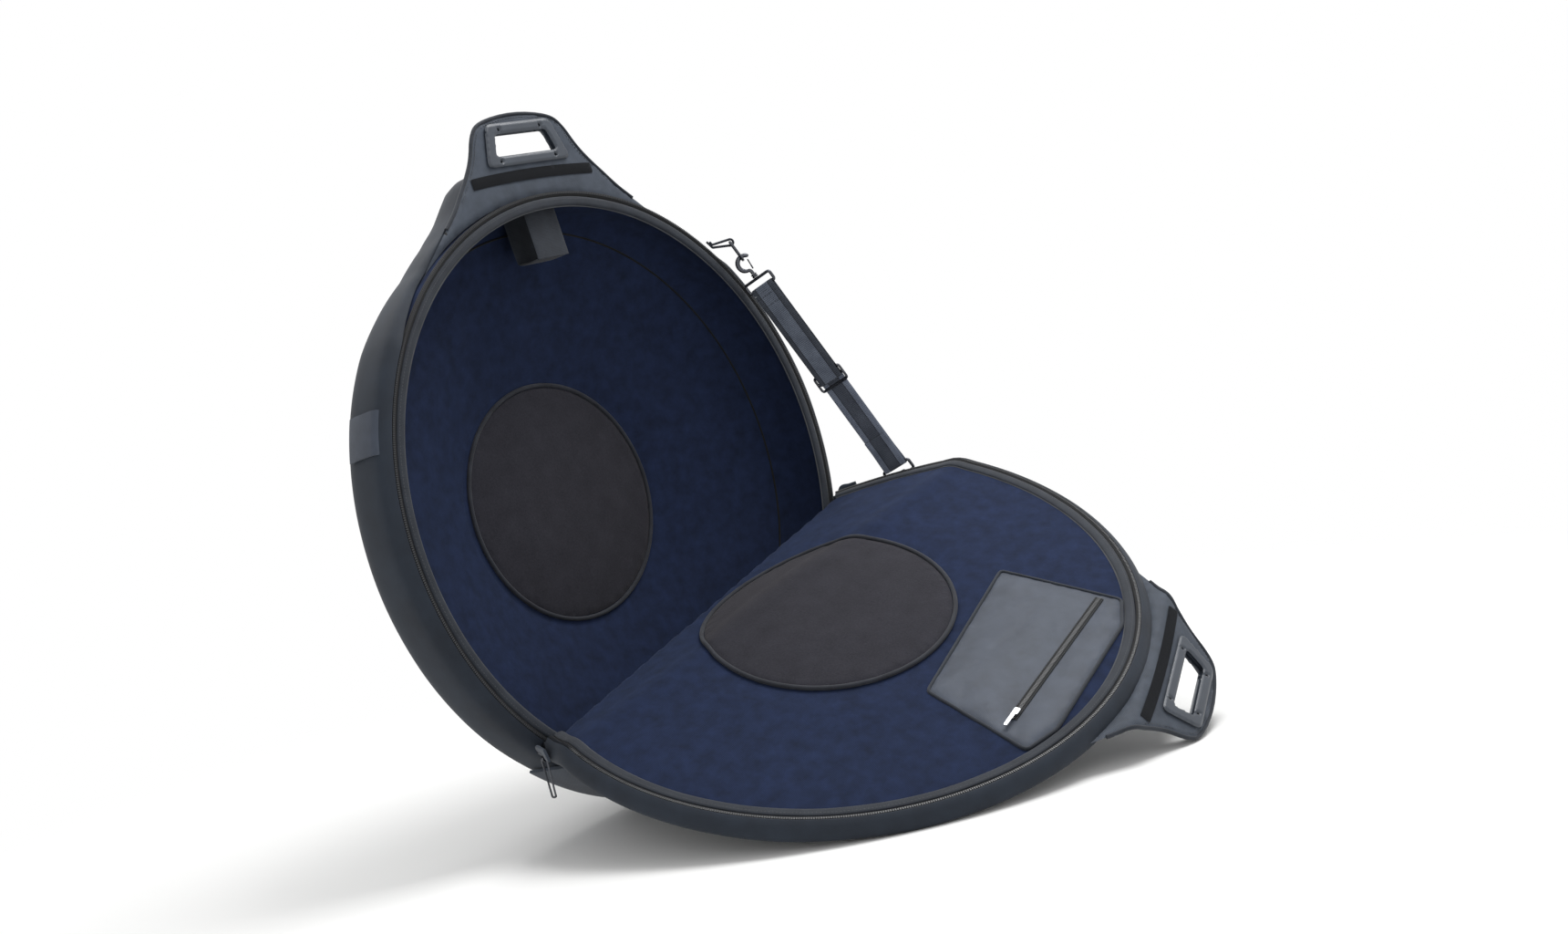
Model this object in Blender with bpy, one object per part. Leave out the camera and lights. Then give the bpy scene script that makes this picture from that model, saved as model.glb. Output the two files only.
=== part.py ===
"""Padded clamshell bag for one bicycle wheel, standing open.

The bag frame has X to the right, Y up the back half and Z out of its mouth, with
its origin at the centre of the mouth. The lid is drawn shut in that frame, and
parent empties on the fold lines turn it open.
"""
import math

import bmesh
import bpy
from mathutils import Matrix, Vector

# Stance: lean and roll of the back half, and where the bag frame's origin stands
LEAN = math.radians(6.1)
ROLL = math.radians(4.6)
STAND = Vector((-0.0237, 0.2218, 0.3968))

# Folds of the lid: distance below the centre, slope, turn from shut to open
HINGE_OFFSET = 0.187
HINGE_SLOPE = math.radians(11.5)
HINGE_TURN = math.radians(94)
RIDGE_OFFSET = 0.071
RIDGE_SLOPE = math.radians(22)
RIDGE_TURN = math.radians(23)
DROOP_Y = 0.3942
DROOP_TURN = math.radians(40)

# Gaps between sewn pieces that touch
FIT = 0.0003

# Back half: the front edge of the shell, how far its side wall bulges past that, and its depth
EDGE_R = 0.3779
WALL_R = 0.3913
WALL_BACK_DROP = 0.0023
WALL_DEPTH = 0.060
EDGE_FRONT = 0.0005
EDGE_CURVE = ((0.4, 0.0031), (0.8, 0.0085), (1.0, 0.016), (0.98, 0.035))
SHELL_IN = 0.3776
SHOULDER_STEPS = ((0.005, 0.014), (0.017, 0.025))
DOME_INNER_WALL = ((0.0111, 0.0800), (0.004, 0.070), (0.0, 0.058))

# Back panel, sewn to the side wall along a seam: its outside from the seam inwards, then its inside
PANEL_SEAM = ((0.350, 0.0895), (0.3475, 0.0847))
DOME_OUTER = ((0.177, 0.1535), (0.163, 0.159), (0.0, 0.159))
DOME_INNER = ((0.0, 0.1538), (0.1622, 0.1538), (0.1749, 0.1486))

# The crown over the mouth: outer radius and bulge by angle from the top, in degrees
CROWN_TOP = 0.416
CROWN = ((15.0, 0.4264), (17.5, 0.4153), (20.1, 0.4046), (22.1, 0.3983), (26.9, 0.389), (34.7, 0.3795), (45.0, 0.3782), (52.0, EDGE_R))
CROWN_BULGE = ((27.0, 0.001), (52.0, WALL_R - EDGE_R))
CROWN_FRONT = 0.0163
CROWN_START = 52.0
CROWN_FULL = 39.0
CROWN_BACK = ((0.0, 0.036), (15.0, 0.046), (28.0, 0.058), (40.0, WALL_DEPTH))

# Padded linings of the back half: round the side wall, and over the back panel from the seam inwards
LINING_SEAM = ((0.3473, 0.0839), (0.345, 0.0795))
WALL_LINING_OUTER = ((0.3772, 0.0093), (0.3772, 0.0577), (0.3732, 0.0697), (0.3657, 0.0791))
WALL_LINING_INNER = ((0.359, 0.0745), (0.3665, 0.066), (0.370, 0.056), (0.370, 0.0093))
LINING_OUTER = ((0.1745, 0.1478), (0.1620, 0.1533), (0.0, 0.1533))
LINING_INNER = ((0.0, 0.150), (0.1612, 0.150), (0.1730, 0.1443))

# Rim: padded binding and the zip tape outside it
BACK_BINDING = ((0.3585, 0.0052), (0.3610, 0.0012), (0.3650, 0.0004), (0.3710, 0.0004), (0.3710, 0.0090), (0.3625, 0.0090))
LID_BINDING = ((0.3585, 0.0040), (0.3610, 0.0012), (0.3650, 0.0004), (0.3710, 0.0004), (0.3710, 0.0057), (0.3600, 0.0057))
BACK_TAPE = ((0.3713, 0.0004), (0.3773, 0.0004), (0.3773, 0.0090), (0.3713, 0.0090))
LID_TAPE = ((0.3713, 0.0004), (0.3773, 0.0004), (0.3773, 0.0057), (0.3713, 0.0057))

# Lid, measured forward from the mouth when it is shut
LID_OUTER = ((0.0, 0.026), (0.374, 0.026), (0.384, 0.025), (0.3897, 0.0212), (0.3908, 0.016), (0.388, 0.0095), (0.3833, 0.0034), (0.3779, 0.0005))
LID_INNER = ((0.3776, 0.0005), (0.3776, 0.018), (0.0, 0.018))
LID_FOAM = ((0.0, 0.006), (0.3773, 0.006), (0.3773, 0.0177), (0.0, 0.0177))
LID_LINING = 0.006

# Hub pads and the cord piped round them
PAD = ((0.0, 0.0), (0.1538, 0.0), (0.1538, 0.0026), (0.150, 0.0045), (0.0, 0.0045))
PIPING_R = 0.157
PIPING_CORD = 0.0028
BACK_PAD_DEPTH = 0.1497

# Handle tabs
TAB_DEPTH = 0.012
TAB_T = 0.004
TAB_IN = 0.3776
LID_TAB_IN = 0.3914
TAB_OUTLINE = ((0.0, 0.487), (0.062, 0.479), (0.079, 0.464), (0.093, 0.434), (0.110, 0.412), (0.125, 0.396), (0.139, 0.380), (0.150, 0.369), (0.176, 0.347), (0.216, 0.312))
TAB_END = math.radians(38)
LID_TAB_END = math.radians(25.6)
LID_TAB_OUTLINE = ((0.062, 0.479), (0.079, 0.464), (0.093, 0.434), (0.110, 0.412), (0.1266, DROOP_Y + FIT / 2))
LID_ROOT_OUTLINE = ((0.1266, DROOP_Y - FIT / 2), (0.139, 0.380), (0.150, 0.369))

# Handle: finger opening, the frames round it, the sleeve through the tab
GRIP_TOP = (0.0445, 0.4605)
GRIP_LOW = (0.053, 0.4325)
GRIP_CORNER = 0.005
FRAME_TOP = (0.056, 0.4745)
FRAME_LOW = (0.073, 0.4195)
FRAME_CORNER = 0.010
FRAME_T = 0.0045
FRAME_EDGE = 0.0012
SLEEVE_T = 0.0022
SLEEVE_FIT = 0.0026

# Hook-and-loop strip under the handle
STRIP_HALF = 0.106
STRIP_Y = 0.4065
STRIP_SAG = 0.004
STRIP_H = 0.014
STRIP_T = 0.0016

# Wheel strap at the top of the mouth
STRAP_LEFT = -0.0275
STRAP_RIGHT = 0.0275
STRAP_T = 0.002
STRAP_ROOT = 0.3685
STRAP_TAIL_ROOT = 0.3662
STRAP_LOW = 0.300
STRAP_FRONT = 0.0235
STRAP_REAR = 0.062

# Band on the left side wall, and the patch under the bag
BAND_ANGLE = math.radians(158)
BAND_HALF = math.radians(3.8)
BAND_T = 0.003
BAND_FRONT = 0.0080
BAND_BACK = 0.062
PATCH_IN = 0.3916
PATCH_OUT = 0.396
PATCH_START = math.radians(226)
PATCH_END = math.radians(315)
PATCH_BACK = 0.058
PATCH_FRONT = 0.023

# Zip slider, which rides in the groove outside the zip, and its pull
SLIDER_ANGLE = math.radians(222)
SLIDER_SECTION = ((0.3790, 0.0004), (0.3840, 0.0031), (0.3905, 0.0055), (0.3935, 0.0042))
SLIDER_L = 0.017
SLIDER_TAPER = ((-0.5, 1.0), (0.1, 0.8), (0.5, 0.6))
LUG_R = 0.0030
LUG_BORE = 0.0017
LUG_HALF = 0.0016
LUG_BASE = 0.3938
PULL_R = LUG_BASE + LUG_R
PULL_L = 0.045
PULL_W = 0.0085
PULL_WIRE = 0.0012
PULL_CORNER = 0.0015
PULL_NARROW = 0.75

# Pocket in the lid and its zip
POCKET = ((0.120, 0.189), (0.091, 0.344), (0.040, 0.3535), (-0.162, 0.317), (-0.2035, 0.292), (-0.130, 0.162))
POCKET_T = 0.0042
POCKET_ZIP = ((0.085, 0.3185), (-0.158, 0.2665))
POCKET_ZIP_W = 0.011
POCKET_ZIP_T = 0.0013
POCKET_SLIDER = (-0.148, 0.2686)
POCKET_SLIDER_L = 0.011
POCKET_SLIDER_W = 0.007
POCKET_SLIDER_T = 0.0028
POCKET_PULL_L = 0.024
POCKET_PULL_W = 0.005
POCKET_PULL_T = 0.0012

# Shoulder strap: its two anchors, and the layout from the upper one
UPPER_R = 0.400
ANCHOR_R = 0.3985
UPPER_ANGLE = math.radians(41.5)
UPPER_HEIGHT = 0.0140
UPPER_TILT = math.radians(45)
LOWER_ANGLE = math.radians(-4)
LOWER_HEIGHT = 0.013
EYE_R = 0.0044
EYE_BORE = 0.0026
EYE_HALF = 0.0065
EYE_TAIL = 0.024
EYE_TAIL_T = 0.0017
EYE_LIFT = 0.0236
EYE_NECK = 0.0125
RING_WIRE = 0.0020
RING_HALF = 0.0155
RING_SIDE = 0.012
RING_L = 0.0300
HOOK_AT = 0.0358
HOOK_R = 0.011
HOOK_WIRE = 0.0029
HOOK_STEM = 0.0535
HOOK_MOUTH = math.radians(125)
GATE_FROM = (0.0478, 0.0032)
GATE_TO = (0.0325, 0.0046)
GATE_W = 0.004
GATE_T = 0.0022
POST_R = 0.0044
POST_FROM = 0.0538
POST_TO = 0.0595
LOOP_NEAR = 0.0620
LOOP_FAR = 0.0765
LOOP_HALF = 0.0220
LOOP_CORNER = 0.003
LOW_LOOP_L = 0.016
LOOP_WIRE = 0.0022
WEB_HALF = 0.0185
WEB_T = 0.0015
WEB_GAP = 0.0024
GLIDE_AT = 0.236
GLIDE_HALF = 0.024
GLIDE_L = 0.027
GLIDE_T = 0.0036
GLIDE_BAR = 0.0036
GLIDE_SLOT = 0.0075
GLIDE_SLOT_HALF = 0.0202

# How finely round shapes are cut
TURN_STEPS = 72
PAD_STEPS = 48
WIRE_SIDES = 8
BEND_STEPS = 6

# Colours as sRGB hex, roughness, metallic
LOOKS = {
    "shell": ("33383C", 0.62, 0.0),
    "lining": ("1F2738", 0.95, 0.0),
    "pad": ("2B2A2C", 0.95, 0.0),
    "piping": ("3D3C3A", 0.85, 0.0),
    "binding": ("2A2D31", 0.75, 0.0),
    "tape": ("1B1D20", 0.7, 0.0),
    "nylon": ("3A3F46", 0.7, 0.0),
    "strip": ("15171C", 0.95, 0.0),
    "plastic": ("4D545C", 0.42, 0.0),
    "pocket": ("4B5059", 0.68, 0.0),
    "webbing": ("3A3A3C", 0.85, 0.0),
    "hardware": ("6A6C70", 0.35, 1.0),
    "steel": ("9A9C9E", 0.3, 1.0),
}


def clear_scene():
    for obj in list(bpy.data.objects):
        bpy.data.objects.remove(obj, do_unlink=True)


def linear(value):
    value /= 255
    return value / 12.92 if value <= 0.04045 else ((value + 0.055) / 1.055) ** 2.4


def principled(name, look):
    code, roughness, metallic = LOOKS[look]
    colour = [linear(int(code[i:i + 2], 16)) for i in (0, 2, 4)] + [1.0]
    material = bpy.data.materials.new(name)
    material.use_nodes = True
    shader = material.node_tree.nodes["Principled BSDF"]
    shader.inputs["Base Color"].default_value = colour
    shader.inputs["Roughness"].default_value = roughness
    shader.inputs["Metallic"].default_value = metallic
    material.diffuse_color = colour
    return material


# Parent empties. Each has its place when the bag is shut and its place at rest.
class Frame:
    def __init__(self, name, parent, shut, turn=0.0):
        self.empty = bpy.data.objects.new(name, None)
        self.empty.empty_display_size = 0.05
        bpy.context.scene.collection.objects.link(self.empty)
        self.shut = shut
        turned = shut @ Matrix.Rotation(turn, 4, "X")
        if parent is None:
            self.rest = Matrix.Identity(4)
            return
        self.rest = parent.rest @ parent.shut.inverted() @ turned
        self.empty.parent = parent.empty
        self.empty.matrix_local = parent.shut.inverted() @ turned


class FrameAtRest(Frame):
    """A parent empty given by its place at rest. Its pieces are drawn in its own axes."""

    def __init__(self, name, parent, rest):
        self.empty = bpy.data.objects.new(name, None)
        self.empty.empty_display_size = 0.03
        bpy.context.scene.collection.objects.link(self.empty)
        self.shut = Matrix.Identity(4)
        self.rest = rest
        self.empty.parent = parent.empty
        self.empty.matrix_local = parent.rest.inverted() @ rest


def finish(name, bm, look, frame, smooth=True):
    bmesh.ops.recalc_face_normals(bm, faces=bm.faces)
    mesh = bpy.data.meshes.new(name)
    bm.to_mesh(mesh)
    bm.free()
    obj = bpy.data.objects.new(name, mesh)
    bpy.context.scene.collection.objects.link(obj)
    mesh.materials.append(principled(name, look))
    if smooth:
        mesh.shade_smooth()
        mesh.set_sharp_from_angle(angle=math.radians(35))
    obj.parent = frame.empty
    obj.matrix_local = frame.shut.inverted()
    return obj


def polar(radius, angle, z=0.0):
    return Vector((radius * math.cos(angle), radius * math.sin(angle), z))


def skin(sections, wrap):
    """A closed body through sections that have the same number of points."""
    bm = bmesh.new()
    rows = [[bm.verts.new(point) for point in section] for section in sections]
    count = len(rows[0])
    pairs = list(zip(rows, rows[1:] + rows[:1])) if wrap else list(zip(rows, rows[1:]))
    for row, following in pairs:
        for i in range(count):
            j = (i + 1) % count
            bm.faces.new((row[i], row[j], following[j], following[i]))
    if not wrap:
        bm.faces.new(rows[0])
        bm.faces.new(rows[-1])
    bmesh.ops.remove_doubles(bm, verts=bm.verts, dist=1e-6)
    return bm


def lathe(profile, steps=TURN_STEPS, start=None, stop=None):
    """Turns a closed profile of (radius, z) about the bag's Z, all round or from start to stop."""
    if start is None:
        angles = [math.tau * i / steps for i in range(steps)]
    else:
        count = max(2, round(steps * (stop - start) / math.tau))
        angles = [start + (stop - start) * i / count for i in range(count + 1)]
    return skin([[polar(r, angle, z) for r, z in profile] for angle in angles], start is None)


def plate(outline, holes, low, high):
    """A flat plate with holes between two heights."""
    bm = bmesh.new()
    edges = []
    for loop in (outline, *holes):
        verts = [bm.verts.new((x, y, low)) for x, y in loop]
        edges += [bm.edges.new(pair) for pair in zip(verts, verts[1:] + verts[:1])]
    bmesh.ops.triangle_fill(bm, use_beauty=True, edges=edges)
    extruded = bmesh.ops.extrude_face_region(bm, geom=list(bm.faces))
    raised = [item for item in extruded["geom"] if isinstance(item, bmesh.types.BMVert)]
    bmesh.ops.translate(bm, verts=raised, vec=(0, 0, high - low))
    return bm


def tube(path, radius, closed=False, sides=WIRE_SIDES):
    """A round wire along a path."""
    points = [Vector(point) for point in path]
    last = len(points) - 1
    sections = []
    side = None
    for i, point in enumerate(points):
        before = points[i - 1] if closed or i else point
        after = points[(i + 1) % len(points)] if closed or i < last else point
        along = (after - before).normalized()
        if side is None:
            side = along.orthogonal().normalized()
        side = (side - along * side.dot(along)).normalized()
        up = along.cross(side)
        sections.append([point + radius * (math.cos(a) * side + math.sin(a) * up) for a in (math.tau * k / sides for k in range(sides))])
    if not closed:
        return skin(sections, False)
    bm = bmesh.new()
    rows = [[bm.verts.new(point) for point in section] for section in sections]
    first = rows[0]
    shift = min(range(sides), key=lambda k: (rows[-1][0].co - first[k].co).length)
    for row, following in zip(rows, rows[1:]):
        for k in range(sides):
            bm.faces.new((row[k], row[(k + 1) % sides], following[(k + 1) % sides], following[k]))
    for k in range(sides):
        bm.faces.new((rows[-1][k], rows[-1][(k + 1) % sides], first[(k + 1 + shift) % sides], first[(k + shift) % sides]))
    return bm


def ribbon(path, thickness, near, far):
    """A strap whose centre line lies in the X-Z plane, between two widths in Y."""
    points = [Vector(point) for point in path]
    upper, lower = [], []
    for i, point in enumerate(points):
        before = points[max(i - 1, 0)]
        after = points[min(i + 1, len(points) - 1)]
        along = (after - before).normalized()
        normal = Vector((-along.y, along.x)) * thickness / 2
        upper.append(point + normal)
        lower.append(point - normal)
    loop = upper + lower[::-1]
    count = len(points)
    bm = bmesh.new()
    rows = [[bm.verts.new((p.x, y, p.y)) for p in loop] for y in (near, far)]
    total = len(loop)
    for i in range(total):
        j = (i + 1) % total
        bm.faces.new((rows[0][i], rows[0][j], rows[1][j], rows[1][i]))
    for row in rows:
        for i in range(count - 1):
            bm.faces.new((row[i], row[i + 1], row[total - 2 - i], row[total - 1 - i]))
    return bm


def rounded(corners, radius, steps=3):
    """The outline through these corners, each rounded with an arc."""
    points = []
    count = len(corners)
    for i, corner in enumerate(corners):
        here = Vector(corner)
        back = (Vector(corners[i - 1]) - here).normalized()
        ahead = (Vector(corners[(i + 1) % count]) - here).normalized()
        half = back.angle(ahead) / 2
        centre = here + (back + ahead).normalized() * radius / math.sin(half)
        first = here + back * radius / math.tan(half) - centre
        last = here + ahead * radius / math.tan(half) - centre
        swing = first.angle_signed(last)
        for k in range(steps + 1):
            a = -swing * k / steps
            points.append(centre + Vector((first.x * math.cos(a) - first.y * math.sin(a), first.x * math.sin(a) + first.y * math.cos(a))))
    return points


def trapezoid(top, low, corner, grow=0.0):
    corners = ((-low[0] - grow, low[1] - grow), (low[0] + grow, low[1] - grow), (top[0] + grow, top[1] + grow), (-top[0] - grow, top[1] + grow))
    return rounded(corners, corner + max(grow, 0.0))


def loft(loops):
    """A ring-shaped body through closed loops of the same count, each given with its height."""
    return skin([[Vector((x, y, z)) for x, y in loop] for loop, z in loops], True)


def box(x0, x1, y0, y1, z0, z1):
    return plate(((x0, y0), (x1, y0), (x1, y1), (x0, y1)), (), z0, z1)


def cut(bm, point, normal):
    """Cuts away what lies on the normal's side of a plane, and closes the cut."""
    geom = list(bm.verts) + list(bm.edges) + list(bm.faces)
    bmesh.ops.bisect_plane(bm, geom=geom, dist=1e-7, plane_co=point, plane_no=normal, clear_outer=True)
    bmesh.ops.holes_fill(bm, edges=[edge for edge in bm.edges if edge.is_boundary], sides=0)
    return bm


# Fold lines of the lid, in the plane of its lining
def fold(offset, slope):
    down = Vector((math.sin(slope), -math.cos(slope), 0.0))
    return Matrix.Translation(down * offset + Vector((0, 0, LID_LINING))) @ Matrix.Rotation(slope, 4, "Z")


HINGE = fold(HINGE_OFFSET, HINGE_SLOPE)
RIDGE = fold(RIDGE_OFFSET, RIDGE_SLOPE)
DROOP = Matrix.Translation((0.0, DROOP_Y, TAB_DEPTH + TAB_T))


def keep_side(bm, line, turn, above):
    """Keeps what lies above or below a fold, mitred so that it can fold outwards by this turn."""
    sign = 1 if above else -1
    up = line.to_3x3() @ Vector((0, 1, 0))
    out = Vector((0, 0, 1))
    on_fold = line.translation + up * sign * FIT
    cut(bm, on_fold, -up * sign)
    slant = (up * sign) * math.cos(turn / 2) - out * math.sin(turn / 2)
    return cut(bm, on_fold, -slant)


def below_hinge(bm):
    return keep_side(bm, HINGE, HINGE_TURN, False)


def on_flap(bm):
    return keep_side(keep_side(bm, HINGE, HINGE_TURN, True), RIDGE, RIDGE_TURN, False)


def above_ridge(bm):
    return keep_side(bm, RIDGE, RIDGE_TURN, True)


def left_of_centre(bm):
    return cut(bm, Vector((0, 0, 0)), Vector((1, 0, 0)))


def right_of_centre(bm):
    return cut(bm, Vector((0, 0, 0)), Vector((-1, 0, 0)))


def between(table, value):
    """Reads a table of (key, value) pairs, straight between its rows and level beyond them."""
    if value <= table[0][0]:
        return table[0][1]
    for (k0, v0), (k1, v1) in zip(table, table[1:]):
        if value <= k1:
            return v0 + (v1 - v0) * (value - k0) / (k1 - k0)
    return table[-1][1]


def crown_drop(from_top):
    """How far the shell's front edge is set back, by angle from the top in degrees."""
    share = (CROWN_START - from_top) / (CROWN_START - CROWN_FULL)
    return CROWN_FRONT * min(max(share, 0.0), 1.0)


def shell_section(angle):
    from_top = abs((math.degrees(angle) - 90 + 180) % 360 - 180)
    edge = between(CROWN, from_top)
    if from_top < CROWN_START:
        edge = min(edge, CROWN_TOP / math.cos(math.radians(from_top)))
    bulge = between(CROWN_BULGE, from_top)
    front = crown_drop(from_top)
    back = between(CROWN_BACK, from_top)
    depth = (back - front) / WALL_DEPTH
    back_r = edge + bulge - WALL_BACK_DROP
    outside = [(edge, front + EDGE_FRONT)]
    outside += [(edge + bulge * share, front + z * depth) for share, z in EDGE_CURVE]
    outside += [(back_r, back)] + [(back_r - dr, back + dz) for dr, dz in SHOULDER_STEPS]
    inside = [(SHELL_IN - dr, z) for dr, z in DOME_INNER_WALL] + [(SHELL_IN, front + EDGE_FRONT)]
    return [polar(r, angle, -z) for r, z in outside + past_seam(PANEL_SEAM) + inside]


def past_seam(seam):
    """The seam's points moved outwards by the gap between sewn pieces."""
    return [(r + FIT, z) for r, z in seam]


def tab_outline(outline, inner, end, steps=16):
    """A tab's outline: one side, the other side, and the arc along the rim."""
    right = [Vector(point) for point in outline]
    left = [Vector((-x, y)) for x, y in outline if x > 0]
    arc = [Vector((inner * math.sin(a), inner * math.cos(a))) for a in (-end + 2 * end * i / steps for i in range(steps + 1))]
    return left[::-1] + right + arc[::-1]


def add_handle(frame, side, prefix):
    """The handle's frames on one tab. Side is 1 on the back half, -1 on the lid."""
    face = -side * (TAB_DEPTH - FIT)
    top = -side * (TAB_DEPTH - FIT - FRAME_T)
    end = -side * (TAB_DEPTH + TAB_T)
    outer = trapezoid(FRAME_TOP, FRAME_LOW, FRAME_CORNER)
    outer_edge = trapezoid(FRAME_TOP, FRAME_LOW, FRAME_CORNER, -FRAME_EDGE)
    grip = trapezoid(GRIP_TOP, GRIP_LOW, GRIP_CORNER)
    grip_edge = trapezoid(GRIP_TOP, GRIP_LOW, GRIP_CORNER, FRAME_EDGE)
    sleeve = trapezoid(GRIP_TOP, GRIP_LOW, GRIP_CORNER, SLEEVE_T)
    shoulder = top - side * FRAME_EDGE
    loops = [(outer_edge, top), (outer, shoulder), (outer, face), (sleeve, face), (sleeve, end), (grip, end), (grip, shoulder), (grip_edge, top)]
    finish(prefix + "_handle_front", loft(loops), "plastic", frame)
    near = -side * (TAB_DEPTH + TAB_T + FIT)
    far = -side * (TAB_DEPTH + TAB_T + FIT + FRAME_T)
    shoulder = far + side * FRAME_EDGE
    loops = [(outer, near), (outer, shoulder), (outer_edge, far), (grip_edge, far), (grip, shoulder), (grip, near)]
    finish(prefix + "_handle_rear", loft(loops), "plastic", frame)


def strip_outline(steps=8):
    xs = [-STRIP_HALF + 2 * STRIP_HALF * i / steps for i in range(steps + 1)]
    middle = [(x, STRIP_Y - STRIP_SAG * (x / STRIP_HALF) ** 2) for x in xs]
    return [(x, y - STRIP_H / 2) for x, y in middle] + [(x, y + STRIP_H / 2) for x, y in reversed(middle)]


def add_tab_strip(frame, side, prefix):
    low, high = sorted((-side * (TAB_DEPTH - FIT), -side * (TAB_DEPTH - FIT - STRIP_T)))
    finish(prefix + "_tab_strip", plate(strip_outline(), (), low, high), "strip", frame, False)


def ring_profile(profile, sign):
    return [(r, z * sign) for r, z in profile]


def build_back(bag):
    angles = [math.tau * i / TURN_STEPS for i in range(TURN_STEPS)]
    angles = sorted(angles + [math.radians(90 + side * a) for side in (-1, 1) for a in (17.5, 22.5)])
    finish("back_shell", skin([shell_section(a) for a in angles], True), "shell", bag)
    seam_out, seam_in = PANEL_SEAM
    panel = (seam_out, *DOME_OUTER, *DOME_INNER, seam_in)
    finish("back_panel", lathe(ring_profile(panel, -1)), "shell", bag)
    wall = (*WALL_LINING_OUTER, *past_seam(LINING_SEAM), *WALL_LINING_INNER)
    finish("back_wall_lining", lathe(ring_profile(wall, -1)), "lining", bag)
    seam_out, seam_in = LINING_SEAM
    panel = (seam_out, *LINING_OUTER, *LINING_INNER, seam_in)
    finish("back_lining", lathe(ring_profile(panel, -1)), "lining", bag)
    finish("back_hub_pad", lathe([(r, z - BACK_PAD_DEPTH) for r, z in PAD], PAD_STEPS), "pad", bag)
    ring = [polar(PIPING_R, math.tau * i / PAD_STEPS, PIPING_CORD - BACK_PAD_DEPTH) for i in range(PAD_STEPS)]
    finish("back_pad_piping", tube(ring, PIPING_CORD, True, 6), "piping", bag)
    finish("back_binding", lathe(ring_profile(BACK_BINDING, -1)), "binding", bag)
    finish("back_zip_tape", lathe(ring_profile(BACK_TAPE, -1)), "tape", bag)

    outline = tab_outline(TAB_OUTLINE, TAB_IN, TAB_END)
    hole = trapezoid(GRIP_TOP, GRIP_LOW, GRIP_CORNER, SLEEVE_FIT)
    finish("back_tab", plate(outline, (hole,), -TAB_DEPTH - TAB_T, -TAB_DEPTH), "nylon", bag, False)
    add_tab_strip(bag, 1, "back")
    add_handle(bag, 1, "back")

    up = Vector((math.tan(ROLL), 1.0, math.tan(LEAN))).normalized()
    patch = lathe(((PATCH_IN, -PATCH_BACK), (PATCH_OUT, -PATCH_BACK), (PATCH_OUT, PATCH_FRONT), (PATCH_IN, PATCH_FRONT)), TURN_STEPS, PATCH_START, PATCH_END)
    finish("base_patch", cut(patch, -up * STAND.z, -up), "binding", bag)
    band = lathe(((PATCH_IN, -BAND_BACK), (PATCH_IN + BAND_T, -BAND_BACK), (PATCH_IN + BAND_T, -BAND_FRONT), (PATCH_IN, -BAND_FRONT)), TURN_STEPS, BAND_ANGLE - BAND_HALF, BAND_ANGLE + BAND_HALF)
    finish("side_band", band, "webbing", bag)

    finish("front_shell", below_hinge(lathe(LID_OUTER + LID_INNER)), "shell", bag)
    finish("front_lining", below_hinge(lathe(LID_FOAM)), "lining", bag)
    finish("front_binding", below_hinge(lathe(LID_BINDING)), "binding", bag)


def build_wheel_strap(bag, strap):
    """The tail is sewn in behind. The front flap hangs over its end and opens."""
    half = STRAP_T / 2
    tail = ((STRAP_TAIL_ROOT, -STRAP_REAR), (STRAP_LOW + 0.004, -STRAP_REAR), (STRAP_LOW + half, -STRAP_REAR + 0.003), (STRAP_LOW + half, -STRAP_FRONT - half - 0.0006))
    points = [Vector(point) for point in tail]
    sections = []
    for i, point in enumerate(points):
        along = (points[min(i + 1, 3)] - points[max(i - 1, 0)]).normalized()
        normal = Vector((-along.y, along.x)) * half
        a, b = point + normal, point - normal
        sections.append([(STRAP_LEFT, a.x, a.y), (STRAP_RIGHT, a.x, a.y), (STRAP_RIGHT, b.x, b.y), (STRAP_LEFT, b.x, b.y)])
    finish("wheel_strap_tail", skin([[Vector(p) for p in section] for section in sections], False), "webbing", bag, False)
    flap = box(STRAP_LEFT, STRAP_RIGHT, STRAP_LOW, STRAP_ROOT, -STRAP_FRONT, -STRAP_FRONT + STRAP_T)
    finish("wheel_strap_flap", flap, "webbing", strap, False)


def build_slider(rider, hanger):
    section = [(r, -z) for r, z in SLIDER_SECTION] + [(r, z) for r, z in reversed(SLIDER_SECTION)]
    body = skin([[polar(r, SLIDER_ANGLE + where * SLIDER_L / r, z * width) for r, z in section] for where, width in SLIDER_TAPER], False)
    finish("zip_slider", body, "hardware", rider)
    arch = [(PULL_R + LUG_R * math.sin(a), LUG_R * math.cos(a)) for a in (math.pi * k / 6 for k in range(7))]
    corners = [(LUG_BASE, -LUG_R), (LUG_BASE, LUG_R)] + arch
    bore = [(PULL_R + LUG_BORE * math.cos(a), LUG_BORE * math.sin(a)) for a in (math.tau * k / WIRE_SIDES for k in range(WIRE_SIDES))]
    lug = plate(corners, (bore,), -LUG_HALF, LUG_HALF)
    bmesh.ops.transform(lug, matrix=Matrix.Rotation(SLIDER_ANGLE, 4, "Z"), verts=lug.verts)
    finish("zip_slider_lug", lug, "hardware", rider, False)
    corners = ((-PULL_W / 2, 0.0), (PULL_W / 2, 0.0), (PULL_W / 2 * PULL_NARROW, -PULL_L), (-PULL_W / 2 * PULL_NARROW, -PULL_L))
    path = [Vector((p.x, p.y, 0)) for p in rounded(corners, PULL_CORNER, 2)]
    finish("zip_pull", tube(path, PULL_WIRE, True), "hardware", hanger)


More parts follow.
